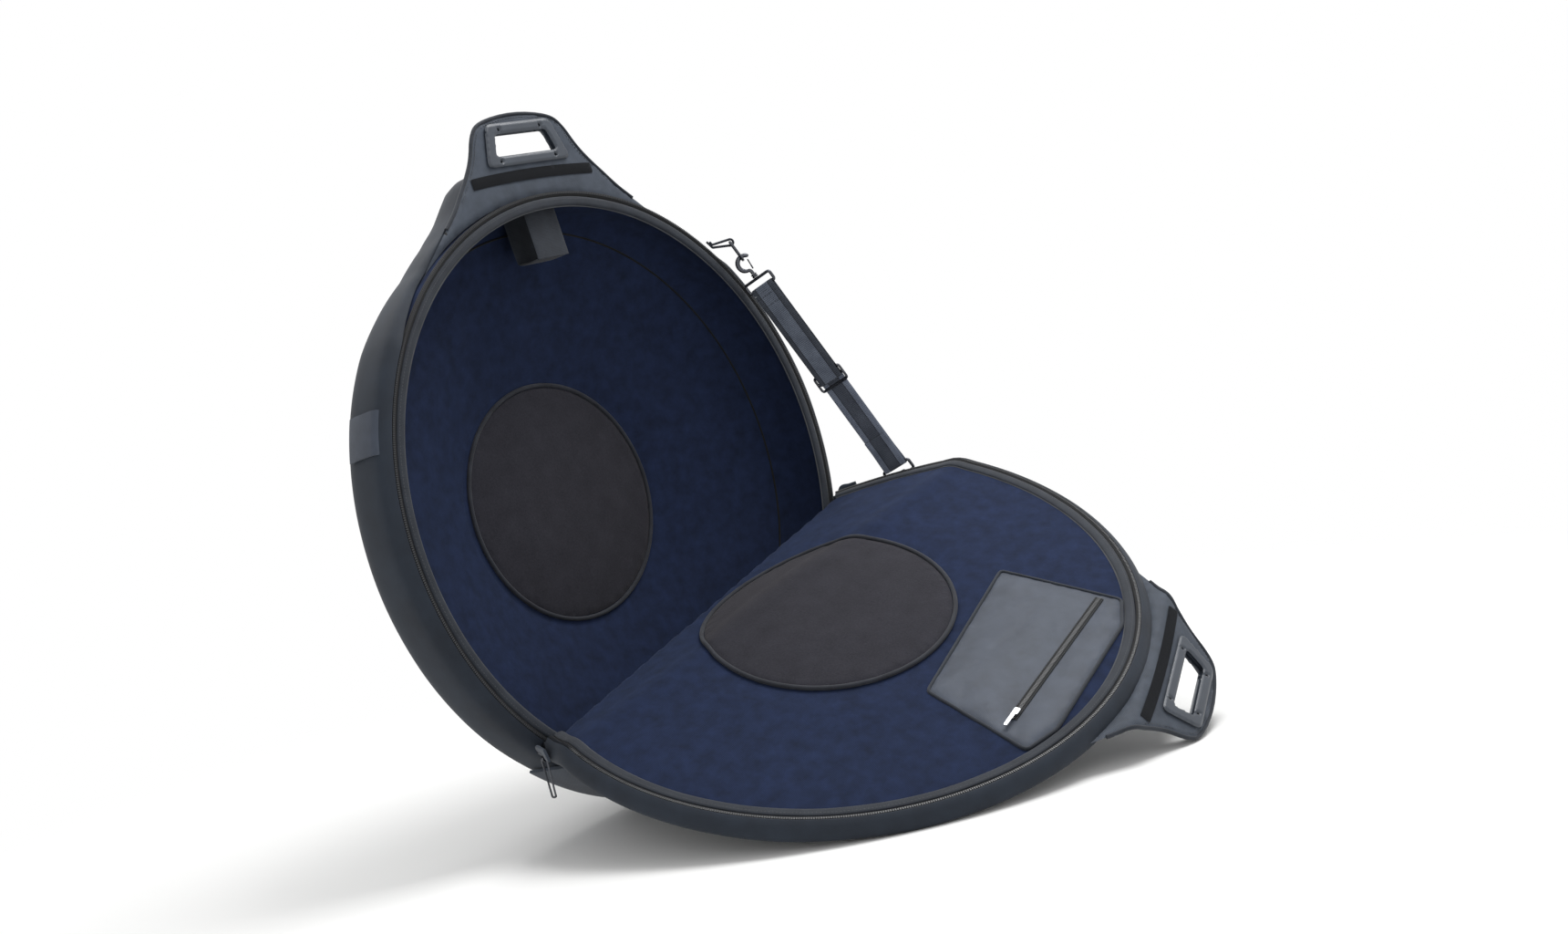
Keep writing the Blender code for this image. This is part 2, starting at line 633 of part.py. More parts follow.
def build_lid(flap, lid, tab):
    finish("flap_shell", on_flap(lathe(LID_OUTER + LID_INNER)), "shell", flap)
    finish("flap_lining", on_flap(lathe(LID_FOAM)), "lining", flap)
    finish("lid_shell", above_ridge(lathe(LID_OUTER + LID_INNER)), "shell", lid)
    finish("lid_lining", above_ridge(lathe(LID_FOAM)), "lining", lid)
    finish("lid_binding", above_ridge(lathe(LID_BINDING)), "binding", lid)
    finish("lid_zip_tape", above_ridge(lathe(LID_TAPE)), "tape", lid)
    for name, half in (("left", left_of_centre), ("right", right_of_centre)):
        finish("flap_binding_" + name, half(on_flap(lathe(LID_BINDING))), "binding", flap)
        finish("flap_zip_tape_" + name, half(on_flap(lathe(LID_TAPE))), "tape", flap)

    top = LID_LINING - FIT
    pad = [(r, top - z) for r, z in PAD]
    finish("lid_hub_pad", above_ridge(lathe(pad, PAD_STEPS)), "pad", lid)
    finish("flap_hub_pad", on_flap(lathe(pad, PAD_STEPS)), "pad", flap)
    ring = [polar(PIPING_R, math.tau * i / PAD_STEPS, top - PIPING_CORD) for i in range(PAD_STEPS)]
    finish("lid_pad_piping", above_ridge(tube(ring, PIPING_CORD, True, 6)), "piping", lid)
    finish("flap_pad_piping", on_flap(tube(ring, PIPING_CORD, True, 6)), "piping", flap)

    finish("lid_pocket", plate(POCKET, (), top - POCKET_T, top), "pocket", lid, False)
    face = top - POCKET_T - FIT
    start, end = (Vector(point) for point in POCKET_ZIP)
    along = (end - start).normalized()
    across = Vector((-along.y, along.x)) * POCKET_ZIP_W / 2
    zip_outline = [start + across, start - across, end - across, end + across]
    finish("pocket_zip", plate(zip_outline, (), face - POCKET_ZIP_T, face), "binding", lid, False)

    root = tab_outline(LID_ROOT_OUTLINE, LID_TAB_IN, LID_TAB_END)
    finish("lid_tab_root", plate(root, (), TAB_DEPTH, TAB_DEPTH + TAB_T), "nylon", lid, False)
    outline = [Vector((-x, y)) for x, y in reversed(LID_TAB_OUTLINE)] + [Vector((0.0, TAB_OUTLINE[0][1]))] + [Vector(point) for point in LID_TAB_OUTLINE]
    hole = trapezoid(GRIP_TOP, GRIP_LOW, GRIP_CORNER, SLEEVE_FIT)
    finish("lid_tab", plate(outline, (hole,), TAB_DEPTH, TAB_DEPTH + TAB_T), "nylon", tab, False)
    add_tab_strip(tab, -1, "lid")
    add_handle(tab, -1, "lid")


def build_pocket_slider(runner):
    """Drawn in its own axes: X along the zip, Z out of the pocket."""
    body = rounded(((-POCKET_SLIDER_L / 2, -POCKET_SLIDER_W / 2), (POCKET_SLIDER_L / 2, -POCKET_SLIDER_W / 2), (POCKET_SLIDER_L / 2, POCKET_SLIDER_W / 2), (-POCKET_SLIDER_L / 2, POCKET_SLIDER_W / 2)), 0.002)
    finish("pocket_slider", plate(body, (), FIT, FIT + POCKET_SLIDER_T), "steel", runner, False)


def build_pocket_pull(puller):
    half = POCKET_PULL_W / 2
    outline = rounded(((0.0, -half), (POCKET_PULL_L, -half * 0.8), (POCKET_PULL_L, half * 0.8), (0.0, half)), 0.0015)
    finish("pocket_pull", plate(outline, (), FIT, FIT + POCKET_PULL_T), "steel", puller, False)


def eye_plate(frame, name, drop):
    """A tape sewn to the side wall and folded round a ring's bar, drawn with Y along the bar and Z away from the wall."""
    neck = EYE_NECK * min(1.0, drop / EYE_LIFT)
    outline = []
    for k in range(9):
        a = math.radians(-60 + 210 * k / 8)
        outline.append(Vector((EYE_R * math.cos(a), EYE_R * math.sin(a))))
    outline += [Vector((-neck - EYE_TAIL_T, -drop + EYE_TAIL_T)), Vector((-EYE_TAIL, -drop + EYE_TAIL_T)), Vector((-EYE_TAIL, -drop)), Vector((EYE_TAIL_T - neck, -drop))]
    bore = [Vector((EYE_BORE * math.cos(math.tau * k / 10), EYE_BORE * math.sin(math.tau * k / 10))) for k in range(10)]
    bm = plate(outline, (bore,), -EYE_HALF, EYE_HALF)
    bmesh.ops.transform(bm, matrix=Matrix(((1, 0, 0, 0), (0, 0, -1, 0), (0, 1, 0, 0), (0, 0, 0, 1))), verts=bm.verts)
    finish(name, bm, "webbing", frame, False)


def add_loop(frame, name, near, far):
    """A rectangular wire loop, drawn with its bars on Y at two places along X."""
    corners = ((near, -LOOP_HALF), (far, -LOOP_HALF), (far, LOOP_HALF), (near, LOOP_HALF))
    path = [Vector((p.x, p.y, 0)) for p in rounded(corners, LOOP_CORNER, 2)]
    finish(name, tube(path, LOOP_WIRE, True), "hardware", frame)


def add_ring(frame, name):
    """A D-ring, drawn with its bar on Y at the origin and its bow along X."""
    path = [Vector((0, -RING_HALF, 0)), Vector((0, -RING_HALF / 3, 0)), Vector((0, RING_HALF / 3, 0)), Vector((0, RING_HALF, 0))]
    for k in range(9):
        a = math.pi / 2 - math.pi * k / 8
        path.append(Vector((RING_SIDE + (RING_L - RING_SIDE) * math.cos(a), RING_HALF * math.sin(a), 0)))
    finish(name, tube(path, RING_WIRE, True), "hardware", frame)


def build_hook(hook, gate):
    """Drawn with X along the strap and Z out of the side wall, about the swivel."""
    path = [Vector((HOOK_STEM, 0, 0)), Vector((HOOK_AT + HOOK_R + 0.0025, 0, 0))]
    for k in range(11):
        a = -(math.tau - HOOK_MOUTH) * k / 10 * 0.98 - 0.12
        path.append(Vector((HOOK_AT + HOOK_R * math.cos(a), 0, HOOK_R * math.sin(a))))
    finish("snap_hook", tube(path, HOOK_WIRE), "hardware", hook)
    start, end = Vector(GATE_FROM), Vector(GATE_TO)
    length = (end - start).length
    finish("hook_gate", box(-0.001, length, -GATE_W / 2, GATE_W / 2, 0.0, GATE_T), "hardware", gate, False)


def build_strap(upper, glide, lower, reach):
    post = plate([Vector((POST_R * math.cos(math.tau * k / 12), POST_R * math.sin(math.tau * k / 12))) for k in range(12)], (), POST_FROM, POST_TO)
    bmesh.ops.transform(post, matrix=Matrix.Rotation(math.pi / 2, 4, "Y"), verts=post.verts)
    finish("swivel_post", post, "hardware", upper)
    add_loop(upper, "strap_loop", LOOP_NEAR, LOOP_FAR)

    wrap = LOOP_WIRE + FIT + WEB_T / 2
    face = GLIDE_T / 2 + FIT + WEB_T / 2
    back = [Vector((GLIDE_AT, -face)), Vector((LOOP_FAR + 0.030, -face))]
    for k in range(BEND_STEPS + 1):
        a = -math.pi / 2 - math.pi * k / BEND_STEPS
        back.append(Vector((LOOP_FAR + wrap * math.cos(a), wrap * math.sin(a))))
    back.append(Vector((LOOP_FAR + 0.006, wrap)))
    finish("strap_back", ribbon([(p.x, p.y) for p in back], WEB_T, -WEB_HALF, WEB_HALF), "webbing", upper, False)
    front = [Vector((LOOP_FAR + 0.006 + FIT, wrap)), Vector((LOOP_FAR + 0.030, face)), Vector((GLIDE_AT - 0.002, face))]
    edge = GLIDE_AT + GLIDE_BAR / 2
    out = FIT + WEB_T / 2
    front += [Vector((edge - FIT, face)), Vector((edge + out * 0.9, face - out * 0.4)), Vector((edge + out * 1.1, face - out * 1.4)), Vector((edge + out * 1.1, 0.0))]
    finish("strap_front", ribbon([(p.x, p.y) for p in front], WEB_T, -WEB_HALF, WEB_HALF), "webbing", upper, False)

    bar = GLIDE_BAR / 2
    slots = []
    for sign in (-1, 1):
        inner, outer = sorted((sign * bar, sign * (bar + GLIDE_SLOT)))
        slots.append(((inner, -GLIDE_SLOT_HALF), (outer, -GLIDE_SLOT_HALF), (outer, GLIDE_SLOT_HALF), (inner, GLIDE_SLOT_HALF)))
    outline = rounded(((-GLIDE_L / 2, -GLIDE_HALF), (GLIDE_L / 2, -GLIDE_HALF), (GLIDE_L / 2, GLIDE_HALF), (-GLIDE_L / 2, GLIDE_HALF)), 0.004)
    finish("three_bar_slider", plate(outline, slots, -GLIDE_T / 2, GLIDE_T / 2), "hardware", glide, False)

    # The lower stretch runs from its loop's far bar back towards the slider
    path = [Vector((reach, face)), Vector((LOW_LOOP_L + 0.030, WEB_T / 2 + FIT))]
    for k in range(BEND_STEPS + 1):
        a = math.pi / 2 + math.pi * k / BEND_STEPS
        path.append(Vector((LOW_LOOP_L + wrap * math.cos(a), wrap * math.sin(a))))
    path += [Vector((LOW_LOOP_L + 0.006, -wrap)), Vector((LOW_LOOP_L + 0.030, -WEB_T / 2 - FIT)), Vector((LOW_LOOP_L + 0.050, -WEB_T / 2 - FIT))]
    finish("strap_lower", ribbon([(p.x, p.y) for p in path], WEB_T, -WEB_HALF, WEB_HALF), "webbing", lower, False)


def axes(origin, x_axis, y_axis):
    x_axis = x_axis.normalized()
    y_axis = (y_axis - x_axis * y_axis.dot(x_axis)).normalized()
    z_axis = x_axis.cross(y_axis)
    return Matrix.Translation(origin) @ Matrix((x_axis, y_axis, z_axis)).transposed().to_4x4()


def main():
    clear_scene()
    bag = Frame("bag", None, Matrix.Identity(4))
    upright = Matrix(((1, 0, 0, 0), (0, 0, -1, 0), (0, 1, 0, 0), (0, 0, 0, 1)))
    sideways = math.atan(math.tan(ROLL))
    forward = math.atan2(-math.tan(LEAN), math.hypot(math.tan(ROLL), 1.0))
    bag.empty.matrix_world = Matrix.Translation(STAND) @ Matrix.Rotation(forward, 4, "X") @ Matrix.Rotation(-sideways, 4, "Y") @ upright

    flap = Frame("flap_fold", bag, HINGE, HINGE_TURN)
    lid = Frame("lid_fold", flap, RIDGE, RIDGE_TURN)
    tab = Frame("lid_tab_fold", lid, DROOP, DROOP_TURN)
    strap = Frame("wheel_strap_fold", bag, Matrix.Translation((0, STRAP_ROOT, STRAP_T - STRAP_FRONT)))
    rider = Frame("zip_path", bag, Matrix.Identity(4))
    build_back(bag)
    build_wheel_strap(bag, strap)
    build_lid(flap, lid, tab)

    down = -Vector((math.tan(ROLL), 1.0, math.tan(LEAN)))
    pivot = polar(PULL_R, SLIDER_ANGLE)
    hang = axes(pivot, Vector((0, 0, 1)), -down)
    hanger = FrameAtRest("zip_pull_pivot", rider, hang)
    build_slider(rider, hanger)

    start, end = (Vector((x, y, LID_LINING - FIT - POCKET_T - FIT - POCKET_ZIP_T)) for x, y in POCKET_ZIP)
    slider_at = Vector((*POCKET_SLIDER, start.z))
    to_rest = lid.rest @ lid.shut.inverted()
    local = axes(slider_at, start - end, Vector((0, 0, -1)).cross(start - end))
    runner = FrameAtRest("pocket_slider_path", lid, to_rest @ local)
    puller = FrameAtRest("pocket_pull_pivot", runner, to_rest @ local @ Matrix.Translation((-POCKET_SLIDER_L / 2, 0, POCKET_SLIDER_T + 2 * FIT)) @ Matrix.Rotation(math.pi, 4, "Z"))
    build_pocket_slider(runner)
    build_pocket_pull(puller)

    upper_at = polar(UPPER_R, UPPER_ANGLE, UPPER_HEIGHT)
    lower_shut = polar(ANCHOR_R, LOWER_ANGLE, LOWER_HEIGHT)
    lower_at = flap.rest @ flap.shut.inverted() @ lower_shut
    along = (lower_at - upper_at).normalized()
    length = (lower_at - upper_at).length
    outward_low = (flap.rest @ flap.shut.inverted()).to_3x3() @ polar(1, LOWER_ANGLE)
    across = outward_low.cross(-along).normalized()
    outward = polar(math.cos(UPPER_TILT), UPPER_ANGLE, math.sin(UPPER_TILT))
    bar = outward.cross(along).normalized()
    upper = FrameAtRest("upper_anchor", bag, axes(upper_at, along, across))
    ring = FrameAtRest("upper_ring_pivot", upper, axes(upper_at, along, bar))
    swivel = axes(upper_at, along, bar)
    hook = FrameAtRest("hook_swivel", upper, swivel)
    gate_from, gate_to = Vector((GATE_FROM[0], 0, GATE_FROM[1])), Vector((GATE_TO[0], 0, GATE_TO[1]))
    turn = swivel.to_3x3()
    gate = FrameAtRest("gate_pivot", hook, axes(swivel @ gate_from, turn @ (gate_to - gate_from), turn @ Vector((0, -1, 0))))
    glide = FrameAtRest("slider_path", upper, axes(upper_at + along * GLIDE_AT, along, across))
    lower = FrameAtRest("lower_anchor", flap, axes(lower_at, -along, across))
    wall = axes(upper_at, bar.cross(outward), bar)
    eye_plate(FrameAtRest("upper_eye", bag, wall), "upper_ring_tape", EYE_LIFT)
    wall_low = axes(lower_at, across.cross(outward_low), across)
    eye_plate(FrameAtRest("lower_eye", flap, wall_low), "lower_ring_tape", ANCHOR_R - WALL_R - FIT)
    add_ring(ring, "upper_ring")
    add_loop(lower, "lower_ring", 0.0, LOW_LOOP_L)
    build_hook(hook, gate)
    build_strap(upper, glide, lower, length - GLIDE_AT - FIT)


main()
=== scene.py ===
import math

import bmesh
import bpy
import numpy as np
from mathutils import Matrix, Vector, geometry, noise


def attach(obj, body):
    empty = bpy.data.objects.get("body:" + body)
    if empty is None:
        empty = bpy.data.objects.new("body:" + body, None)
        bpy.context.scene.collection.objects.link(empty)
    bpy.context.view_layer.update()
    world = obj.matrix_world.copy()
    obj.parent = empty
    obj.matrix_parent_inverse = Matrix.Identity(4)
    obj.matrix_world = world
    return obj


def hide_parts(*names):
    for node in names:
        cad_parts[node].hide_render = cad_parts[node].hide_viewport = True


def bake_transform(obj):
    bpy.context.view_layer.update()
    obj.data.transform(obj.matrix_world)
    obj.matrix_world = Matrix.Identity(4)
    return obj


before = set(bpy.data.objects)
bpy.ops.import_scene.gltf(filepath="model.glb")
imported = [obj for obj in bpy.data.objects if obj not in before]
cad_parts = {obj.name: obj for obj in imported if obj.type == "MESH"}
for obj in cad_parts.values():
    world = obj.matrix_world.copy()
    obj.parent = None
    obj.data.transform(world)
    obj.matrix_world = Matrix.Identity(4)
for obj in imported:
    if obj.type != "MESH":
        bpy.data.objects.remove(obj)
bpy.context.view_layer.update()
scene = bpy.context.scene
scene.view_settings.view_transform = "Standard"

# The bag is drawn shut: X to the right, Y up the back half, Z out of its mouth.
# openOut lays the lid open and stands everything on the floor.
stance = {"lean": 6.1, "roll": 4.6, "stand": (-0.0237, 0.2218, 0.3968)}  # degrees, metres
liningFace = 0.006  # the shut lid's lining stands this far in front of the mouth
folds = {  # where each fold lies, how far it turns, and how wide the cloth bends
    "hinge": {"offset": 0.187, "slope": 11.5, "turn": 94, "band": 0.011},
    "ridge": {"offset": 0.071, "slope": 22, "turn": 23, "band": 0.024},
    "droop": {"y": 0.3942, "z": 0.016, "turn": 40, "band": 0.014},
}
foldShares = {  # which folds turn each part; "soft" bends it over the fold's band
    "back": {},
    "flap": {"hinge": 1},
    "lid": {"hinge": 1, "ridge": 1},
    "tab": {"hinge": 1, "ridge": 1, "droop": 1},
    "hingeFold": {"hinge": "soft"},
    "ridgeFold": {"hinge": 1, "ridge": "soft"},
    "droopFold": {"hinge": 1, "ridge": 1, "droop": "soft"},
}
bodyOfPart = {"back": "back", "flap": "lid_flap", "lid": "lid", "tab": "lid_tab_end"}
bodiesOfFold = {
    "hingeFold": ("back", "lid_flap", "hinge"),
    "ridgeFold": ("lid_flap", "lid", "ridge"),
    "droopFold": ("lid", "lid_tab_end", "droop"),
}
tiny = {"merge": 2e-6, "flat": 1e-7, "zero": 1e-9}  # metres: what counts as one point, as flat and as nothing

lean, roll = math.radians(stance["lean"]), math.radians(stance["roll"])
upright = Matrix(((1, 0, 0, 0), (0, 0, -1, 0), (0, 1, 0, 0), (0, 0, 0, 1)))
tip = math.atan2(-math.tan(lean), math.hypot(math.tan(roll), 1))
stood = Matrix.Translation(stance["stand"])
bagMatrix = stood @ Matrix.Rotation(tip, 4, "X") @ Matrix.Rotation(-roll, 4, "Y") @ upright


def foldFrame(name):
    fold = folds[name]
    if "y" in fold:
        return Matrix.Translation((0, fold["y"], fold["z"]))
    slope = math.radians(fold["slope"])
    down = Vector((math.sin(slope), -math.cos(slope), 0))
    place = down * fold["offset"] + Vector((0, 0, liningFace))
    return Matrix.Translation(place) @ Matrix.Rotation(slope, 4, "Z")


def transform(points, matrix):
    m = np.array(matrix)
    return np.asarray(points, float) @ m[:3, :3].T + m[:3, 3]


def openOut(points, part):
    # turns points of the shut bag to where they lie with the lid open
    points = np.asarray(points, float).reshape(-1, 3)
    for name in ("droop", "ridge", "hinge"):
        share = foldShares[part].get(name)
        if not share:
            continue
        axes = foldFrame(name)
        local = transform(points, axes.inverted())
        turned = np.ones(len(local))
        if share == "soft":
            band = folds[name]["band"]
            t = np.clip((local[:, 1] + band) / (2 * band), 0, 1)
            turned = t * t * (3 - 2 * t)
        a = turned * math.radians(folds[name]["turn"])
        y, z = local[:, 1].copy(), local[:, 2].copy()
        local[:, 1], local[:, 2] = y * np.cos(a) - z * np.sin(a), y * np.sin(a) + z * np.cos(a)
        points = transform(local, axes)
    return transform(points, bagMatrix)


def between(table, value):
    # reads a table of pairs, straight between two of them
    if value <= table[0][0]:
        return table[0][1]
    for (k0, v0), (k1, v1) in zip(table, table[1:]):
        if value <= k1:
            return v0 + (v1 - v0) * (value - k0) / (k1 - k0)
    return table[-1][1]


def cutCorners(points, rounds=2, closed=True):
    # rounds an outline by cutting its corners off a few times
    points = np.asarray(points, float)
    for _ in range(rounds):
        ahead = np.roll(points, -1, 0) if closed else points[1:]
        here = points if closed else points[:-1]
        cut = np.stack([here * 0.75 + ahead * 0.25, here * 0.25 + ahead * 0.75], 1)
        cut = cut.reshape(-1, points.shape[1])
        points = cut if closed else np.vstack([points[:1], cut, points[-1:]])
    return points


def spaced(points, step, closed=False):
    # puts points at even steps along a path
    points = np.asarray(points, float)
    if closed:
        points = np.vstack([points, points[:1]])
    along = np.concatenate([[0], np.cumsum(np.linalg.norm(np.diff(points, axis=0), axis=1))])
    count = max(2, int(round(along[-1] / step)) + 1)
    at = np.linspace(0, along[-1], count)
    found = np.stack([np.interp(at, along, points[:, k]) for k in range(points.shape[1])], 1)
    return found[:-1] if closed else found


def ripple(points, size, seed=0.0):
    # smooth noise at each point; size is the length of its waves
    shift = Vector((seed, seed * 0.7, -seed))
    return np.array([noise.noise(Vector(p) / size + shift) for p in np.asarray(points)])


def polar(r, angle, z=0.0):
    return (r * math.cos(angle), r * math.sin(angle), z)


def linked(name, data):
    made = bpy.data.objects.new(name, data)
    scene.collection.objects.link(made)
    return made


def meshPiece(name, points, faces, uvs, material):
    mesh = bpy.data.meshes.new(name)
    mesh.from_pydata(np.asarray(points).tolist(), [], faces)
    layer = mesh.uv_layers.new(name="cloth")
    layer.data.foreach_set("uv", np.asarray(uvs, np.float32).ravel())
    mesh.materials.append(material)
    return linked(name, mesh)


def coordsOf(mesh):
    found = np.zeros(len(mesh.vertices) * 3)
    mesh.vertices.foreach_get("co", found)
    return found.reshape(-1, 3)


def revolved(profile, angles):
    return np.array([[polar(r, a, z) for r, z in profile] for a in angles])


def pushOut(grid, angles, shift):
    # moves the points of a turned shape away from its axis
    grid[..., 0] += np.cos(angles)[:, None] * shift
    grid[..., 1] += np.sin(angles)[:, None] * shift


def gridPiece(name, grid, material, wrapU=False, wrapV=False, caps=False):
    # a skin over rows of points, with its cloth pattern laid out in metres
    grid = np.asarray(grid, float)
    nu, nv = grid.shape[:2]
    mu, mv = (nu if wrapU else nu - 1), (nv if wrapV else nv - 1)
    i, j = np.meshgrid(np.arange(mu), np.arange(mv), indexing="ij")
    corners = ((i, j), (i + 1, j), (i + 1, j + 1), (i, j + 1))
    faces = np.stack([(a % nu) * nv + b % nv for a, b in corners], -1).reshape(-1, 4).tolist()
    loop = np.concatenate([grid, grid[:1]], 0)
    uStep = np.linalg.norm(np.diff(loop, axis=0), axis=2).mean(1)
    loop = np.concatenate([grid, grid[:, :1]], 1)
    vStep = np.linalg.norm(np.diff(loop, axis=1), axis=2).mean(0)
    u, v = np.concatenate([[0], np.cumsum(uStep)]), np.concatenate([[0], np.cumsum(vStep)])
    uvs = np.stack([np.stack([u[a], v[b]], -1) for a, b in corners], 2).reshape(-1, 2)
    if caps:
        for ring, turn in ((0, 1), (nu - 1, -1)):
            faces.append([ring * nv + k for k in range(nv)][::turn])
            uvs = np.vstack([uvs, grid[ring][::turn, :2]])
    return meshPiece(name, grid.reshape(-1, 3), faces, uvs, material)


def turned(name, profile, material, steps=240, start=None, stop=None, wave=0.0, seed=0.0):
    # a profile of radius and height, turned about the bag's axis
    if start is None:
        angles = np.arange(steps) * math.tau / steps
    else:
        count = max(3, int(round(steps * (stop - start) / math.tau)))
        angles = np.linspace(start, stop, count + 1)
    grid = revolved(profile, angles)
    if wave:
        waveLength = 0.06
        pushOut(grid, angles, ripple(grid.reshape(-1, 3), waveLength, seed).reshape(grid.shape[:2]) * wave)
    return gridPiece(name, grid, material, wrapU=start is None, wrapV=True, caps=start is not None)


def inLoop(points, loop):
    x, y = points[:, 0], points[:, 1]
    inside = np.zeros(len(points), bool)
    for (x0, y0), (x1, y1) in zip(loop, np.roll(loop, -1, 0)):
        crosses = (y0 > y) != (y1 > y)
        with np.errstate(divide="ignore", invalid="ignore"):
            inside ^= crosses & (x < (x1 - x0) * (y - y0) / (y1 - y0) + x0)
    return inside


def toEdge(points, loops):
    best = np.full(len(points), 1e9)
    for loop in loops:
        for a, b in zip(loop, np.roll(loop, -1, 0)):
            d = b - a
            t = np.clip(((points - a) @ d) / max(d @ d, 1e-12), 0, 1)
            best = np.minimum(best, np.linalg.norm(points - a - t[:, None] * d, axis=1))
    return best


mat = {  # how a flat piece is filled with triangles, as shares of their spacing
    "row": 0.866,  # from one row to the next
    "clear": 0.55,  # from an inner point to an edge
}


def panelPiece(name, outline, holes, spacing, low, high, edge, material, lift=None):
    # a flat piece between two heights, with its holes and round edges
    loops = [spaced(np.asarray(loop, float)[:, :2], spacing, True) for loop in (outline, *holes)]
    lowest, highest = loops[0].min(0), loops[0].max(0)
    xs = np.arange(lowest[0], highest[0], spacing)
    rows = []
    for k, y in enumerate(np.arange(lowest[1], highest[1], spacing * mat["row"])):
        rows.append(np.stack([xs + (k % 2) * spacing / 2, np.full(len(xs), y)], 1))
    inner = np.vstack(rows)
    inner = inner[inLoop(inner, loops[0])]
    for loop in loops[1:]:
        inner = inner[~inLoop(inner, loop)]
    inner = inner[toEdge(inner, loops) > spacing * mat["clear"]]
    points, edges = [], []
    for loop in loops:
        first = len(points)
        points += [Vector(p) for p in loop]
        edges += [(first + k, first + (k + 1) % len(loop)) for k in range(len(loop))]
    points += [Vector(p) for p in inner]
    flat, _, faces, *_ = geometry.delaunay_2d_cdt(points, edges, [], 0, tiny["flat"])
    flat = np.array([(p.x, p.y) for p in flat])
    faces = np.array(faces)
    middle = flat[faces].mean(1)
    keep = inLoop(middle, loops[0])
    for loop in loops[1:]:
        keep &= ~inLoop(middle, loop)
    faces = faces[keep]
    # both faces meet in a round edge
    away = toEdge(flat, loops)
    full = np.sqrt(np.clip(1 - (1 - np.clip(away / edge, 0, 1)) ** 2, 0, 1))
    half = (high - low) / 2
    up = (low + high) / 2 + half * full
    down = (low + high) / 2 - half * full
    if lift is not None:
        up, down = lift(flat, away, up, down)
    solid = np.vstack([np.column_stack([flat, up]), np.column_stack([flat, down])])
    allFaces = faces.tolist() + (faces[:, ::-1] + len(flat)).tolist()
    uvs = solid[np.array(allFaces).ravel(), :2]
    return meshPiece(name, solid, allFaces, uvs, material)


webbingEdge = {"points": 11, "square": 10}  # points across the webbing, and how square its edges are


def ribbonPiece(name, path, across, half, thick, material, step=0.004):
    # webbing that follows a path
    path = spaced(path, step)
    across = np.asarray(Vector(across).normalized())
    along = np.gradient(path, axis=0)
    along /= np.linalg.norm(along, axis=1)[:, None]
    normal = np.cross(along, across)
    s = np.sin(np.linspace(-1, 1, webbingEdge["points"]) * math.pi / 2)
    body = thick / 2 * (1 - np.abs(s) ** webbingEdge["square"]) ** 0.5
    upper = path[:, None] + across * (s * half)[None, :, None] + normal[:, None] * body[None, :, None]
    lower = path[:, None] + across * (s * half)[None, :, None] - normal[:, None] * body[None, :, None]
    grid = np.concatenate([upper, lower[:, -2:0:-1]], 1)
    piece = gridPiece(name, grid, material, wrapV=True, caps=True)
    # the weave follows the webbing: its length and its width in metres
    lengths = np.concatenate([[0], np.cumsum(np.linalg.norm(np.diff(path, axis=0), axis=1))])
    widths = np.concatenate([s * half, (s * half)[-2:0:-1]])
    place = np.array([(length, width) for length in lengths for width in widths])
    loops = np.zeros(len(piece.data.loops), int)
    piece.data.loops.foreach_get("vertex_index", loops)
    piece.data.uv_layers["cloth"].data.foreach_set("uv", place[loops].astype(np.float32).ravel())
    return piece


def tubePiece(name, path, radius, material, closed=False, up=(0, 0, 1), flat=1.0, sides=12):
    # cord, wire or rod that follows a path
    path = np.asarray(path, float)
    count = len(path)
    radius = np.broadcast_to(np.asarray(radius, float), (count,))
    ahead = np.roll(path, -1, 0) if closed else np.vstack([path[1:], path[-1:]])
    behind = np.roll(path, 1, 0) if closed else np.vstack([path[:1], path[:-1]])
    along = ahead - behind
    along /= np.linalg.norm(along, axis=1)[:, None]
    up = np.broadcast_to(np.asarray(up, float), along.shape)
    side = np.cross(up, along)
    side /= np.linalg.norm(side, axis=1)[:, None]
    top = np.cross(along, side)
    a = np.arange(sides) * math.tau / sides
    ring = side[:, None] * np.cos(a)[None, :, None] + top[:, None] * (np.sin(a) * flat)[None, :, None]
    grid = path[:, None] + ring * radius[:, None, None]
    return gridPiece(name, grid, material, wrapU=closed, wrapV=True, caps=not closed)


def hexColour(code):
    values = [int(code[i:i + 2], 16) / 255 for i in (0, 2, 4)]
    return tuple(v / 12.92 if v <= 0.04045 else ((v + 0.055) / 1.055) ** 2.4 for v in values) + (1.0,)


def addNode(tree, kind, settings=None, inputs=()):
    # an input is a value, a socket, or a node whose first output is meant
    node = tree.nodes.new(kind)
    for key, value in (settings or {}).items():
        setattr(node, key, value)
    for key, value in (inputs.items() if isinstance(inputs, dict) else enumerate(inputs)):
        source = value.outputs[0] if hasattr(value, "outputs") else value
        if hasattr(source, "is_linked"):
            tree.links.new(source, node.inputs[key])
        else:
            node.inputs[key].default_value = source
    return node


sumNode = "ShaderNodeMath"
plus, minus, times, larger = ({"operation": word} for word in ("ADD", "SUBTRACT", "MULTIPLY", "MAXIMUM"))
sine, unsigned, over, under = (
    {"operation": word} for word in ("SINE", "ABSOLUTE", "GREATER_THAN", "LESS_THAN")
)
sheenRoughness = 0.5
clothShine = 0.22  # cloth has little mirror-like shine
wovenLook = {"mottleFrom": 0.3, "mottleGain": 2.2, "fuzz": 0.6, "bump": 0.6}
fleeceLook = {"pile": 0.9, "patch": 0.5, "less": 0.25, "bump": 0.7, "depth": 0.0006}
webbingLook = {"threadMm": 2.4, "bumpMm": 0.25, "roughness": 0.8, "sheen": 0.2, "band": 0.62, "seam": 0.7}
plasticLook = {"bump": 0.25, "depth": 0.0002}
metalWear = (-0.08, 0.12)  # how much smoother and rougher the worn spots are
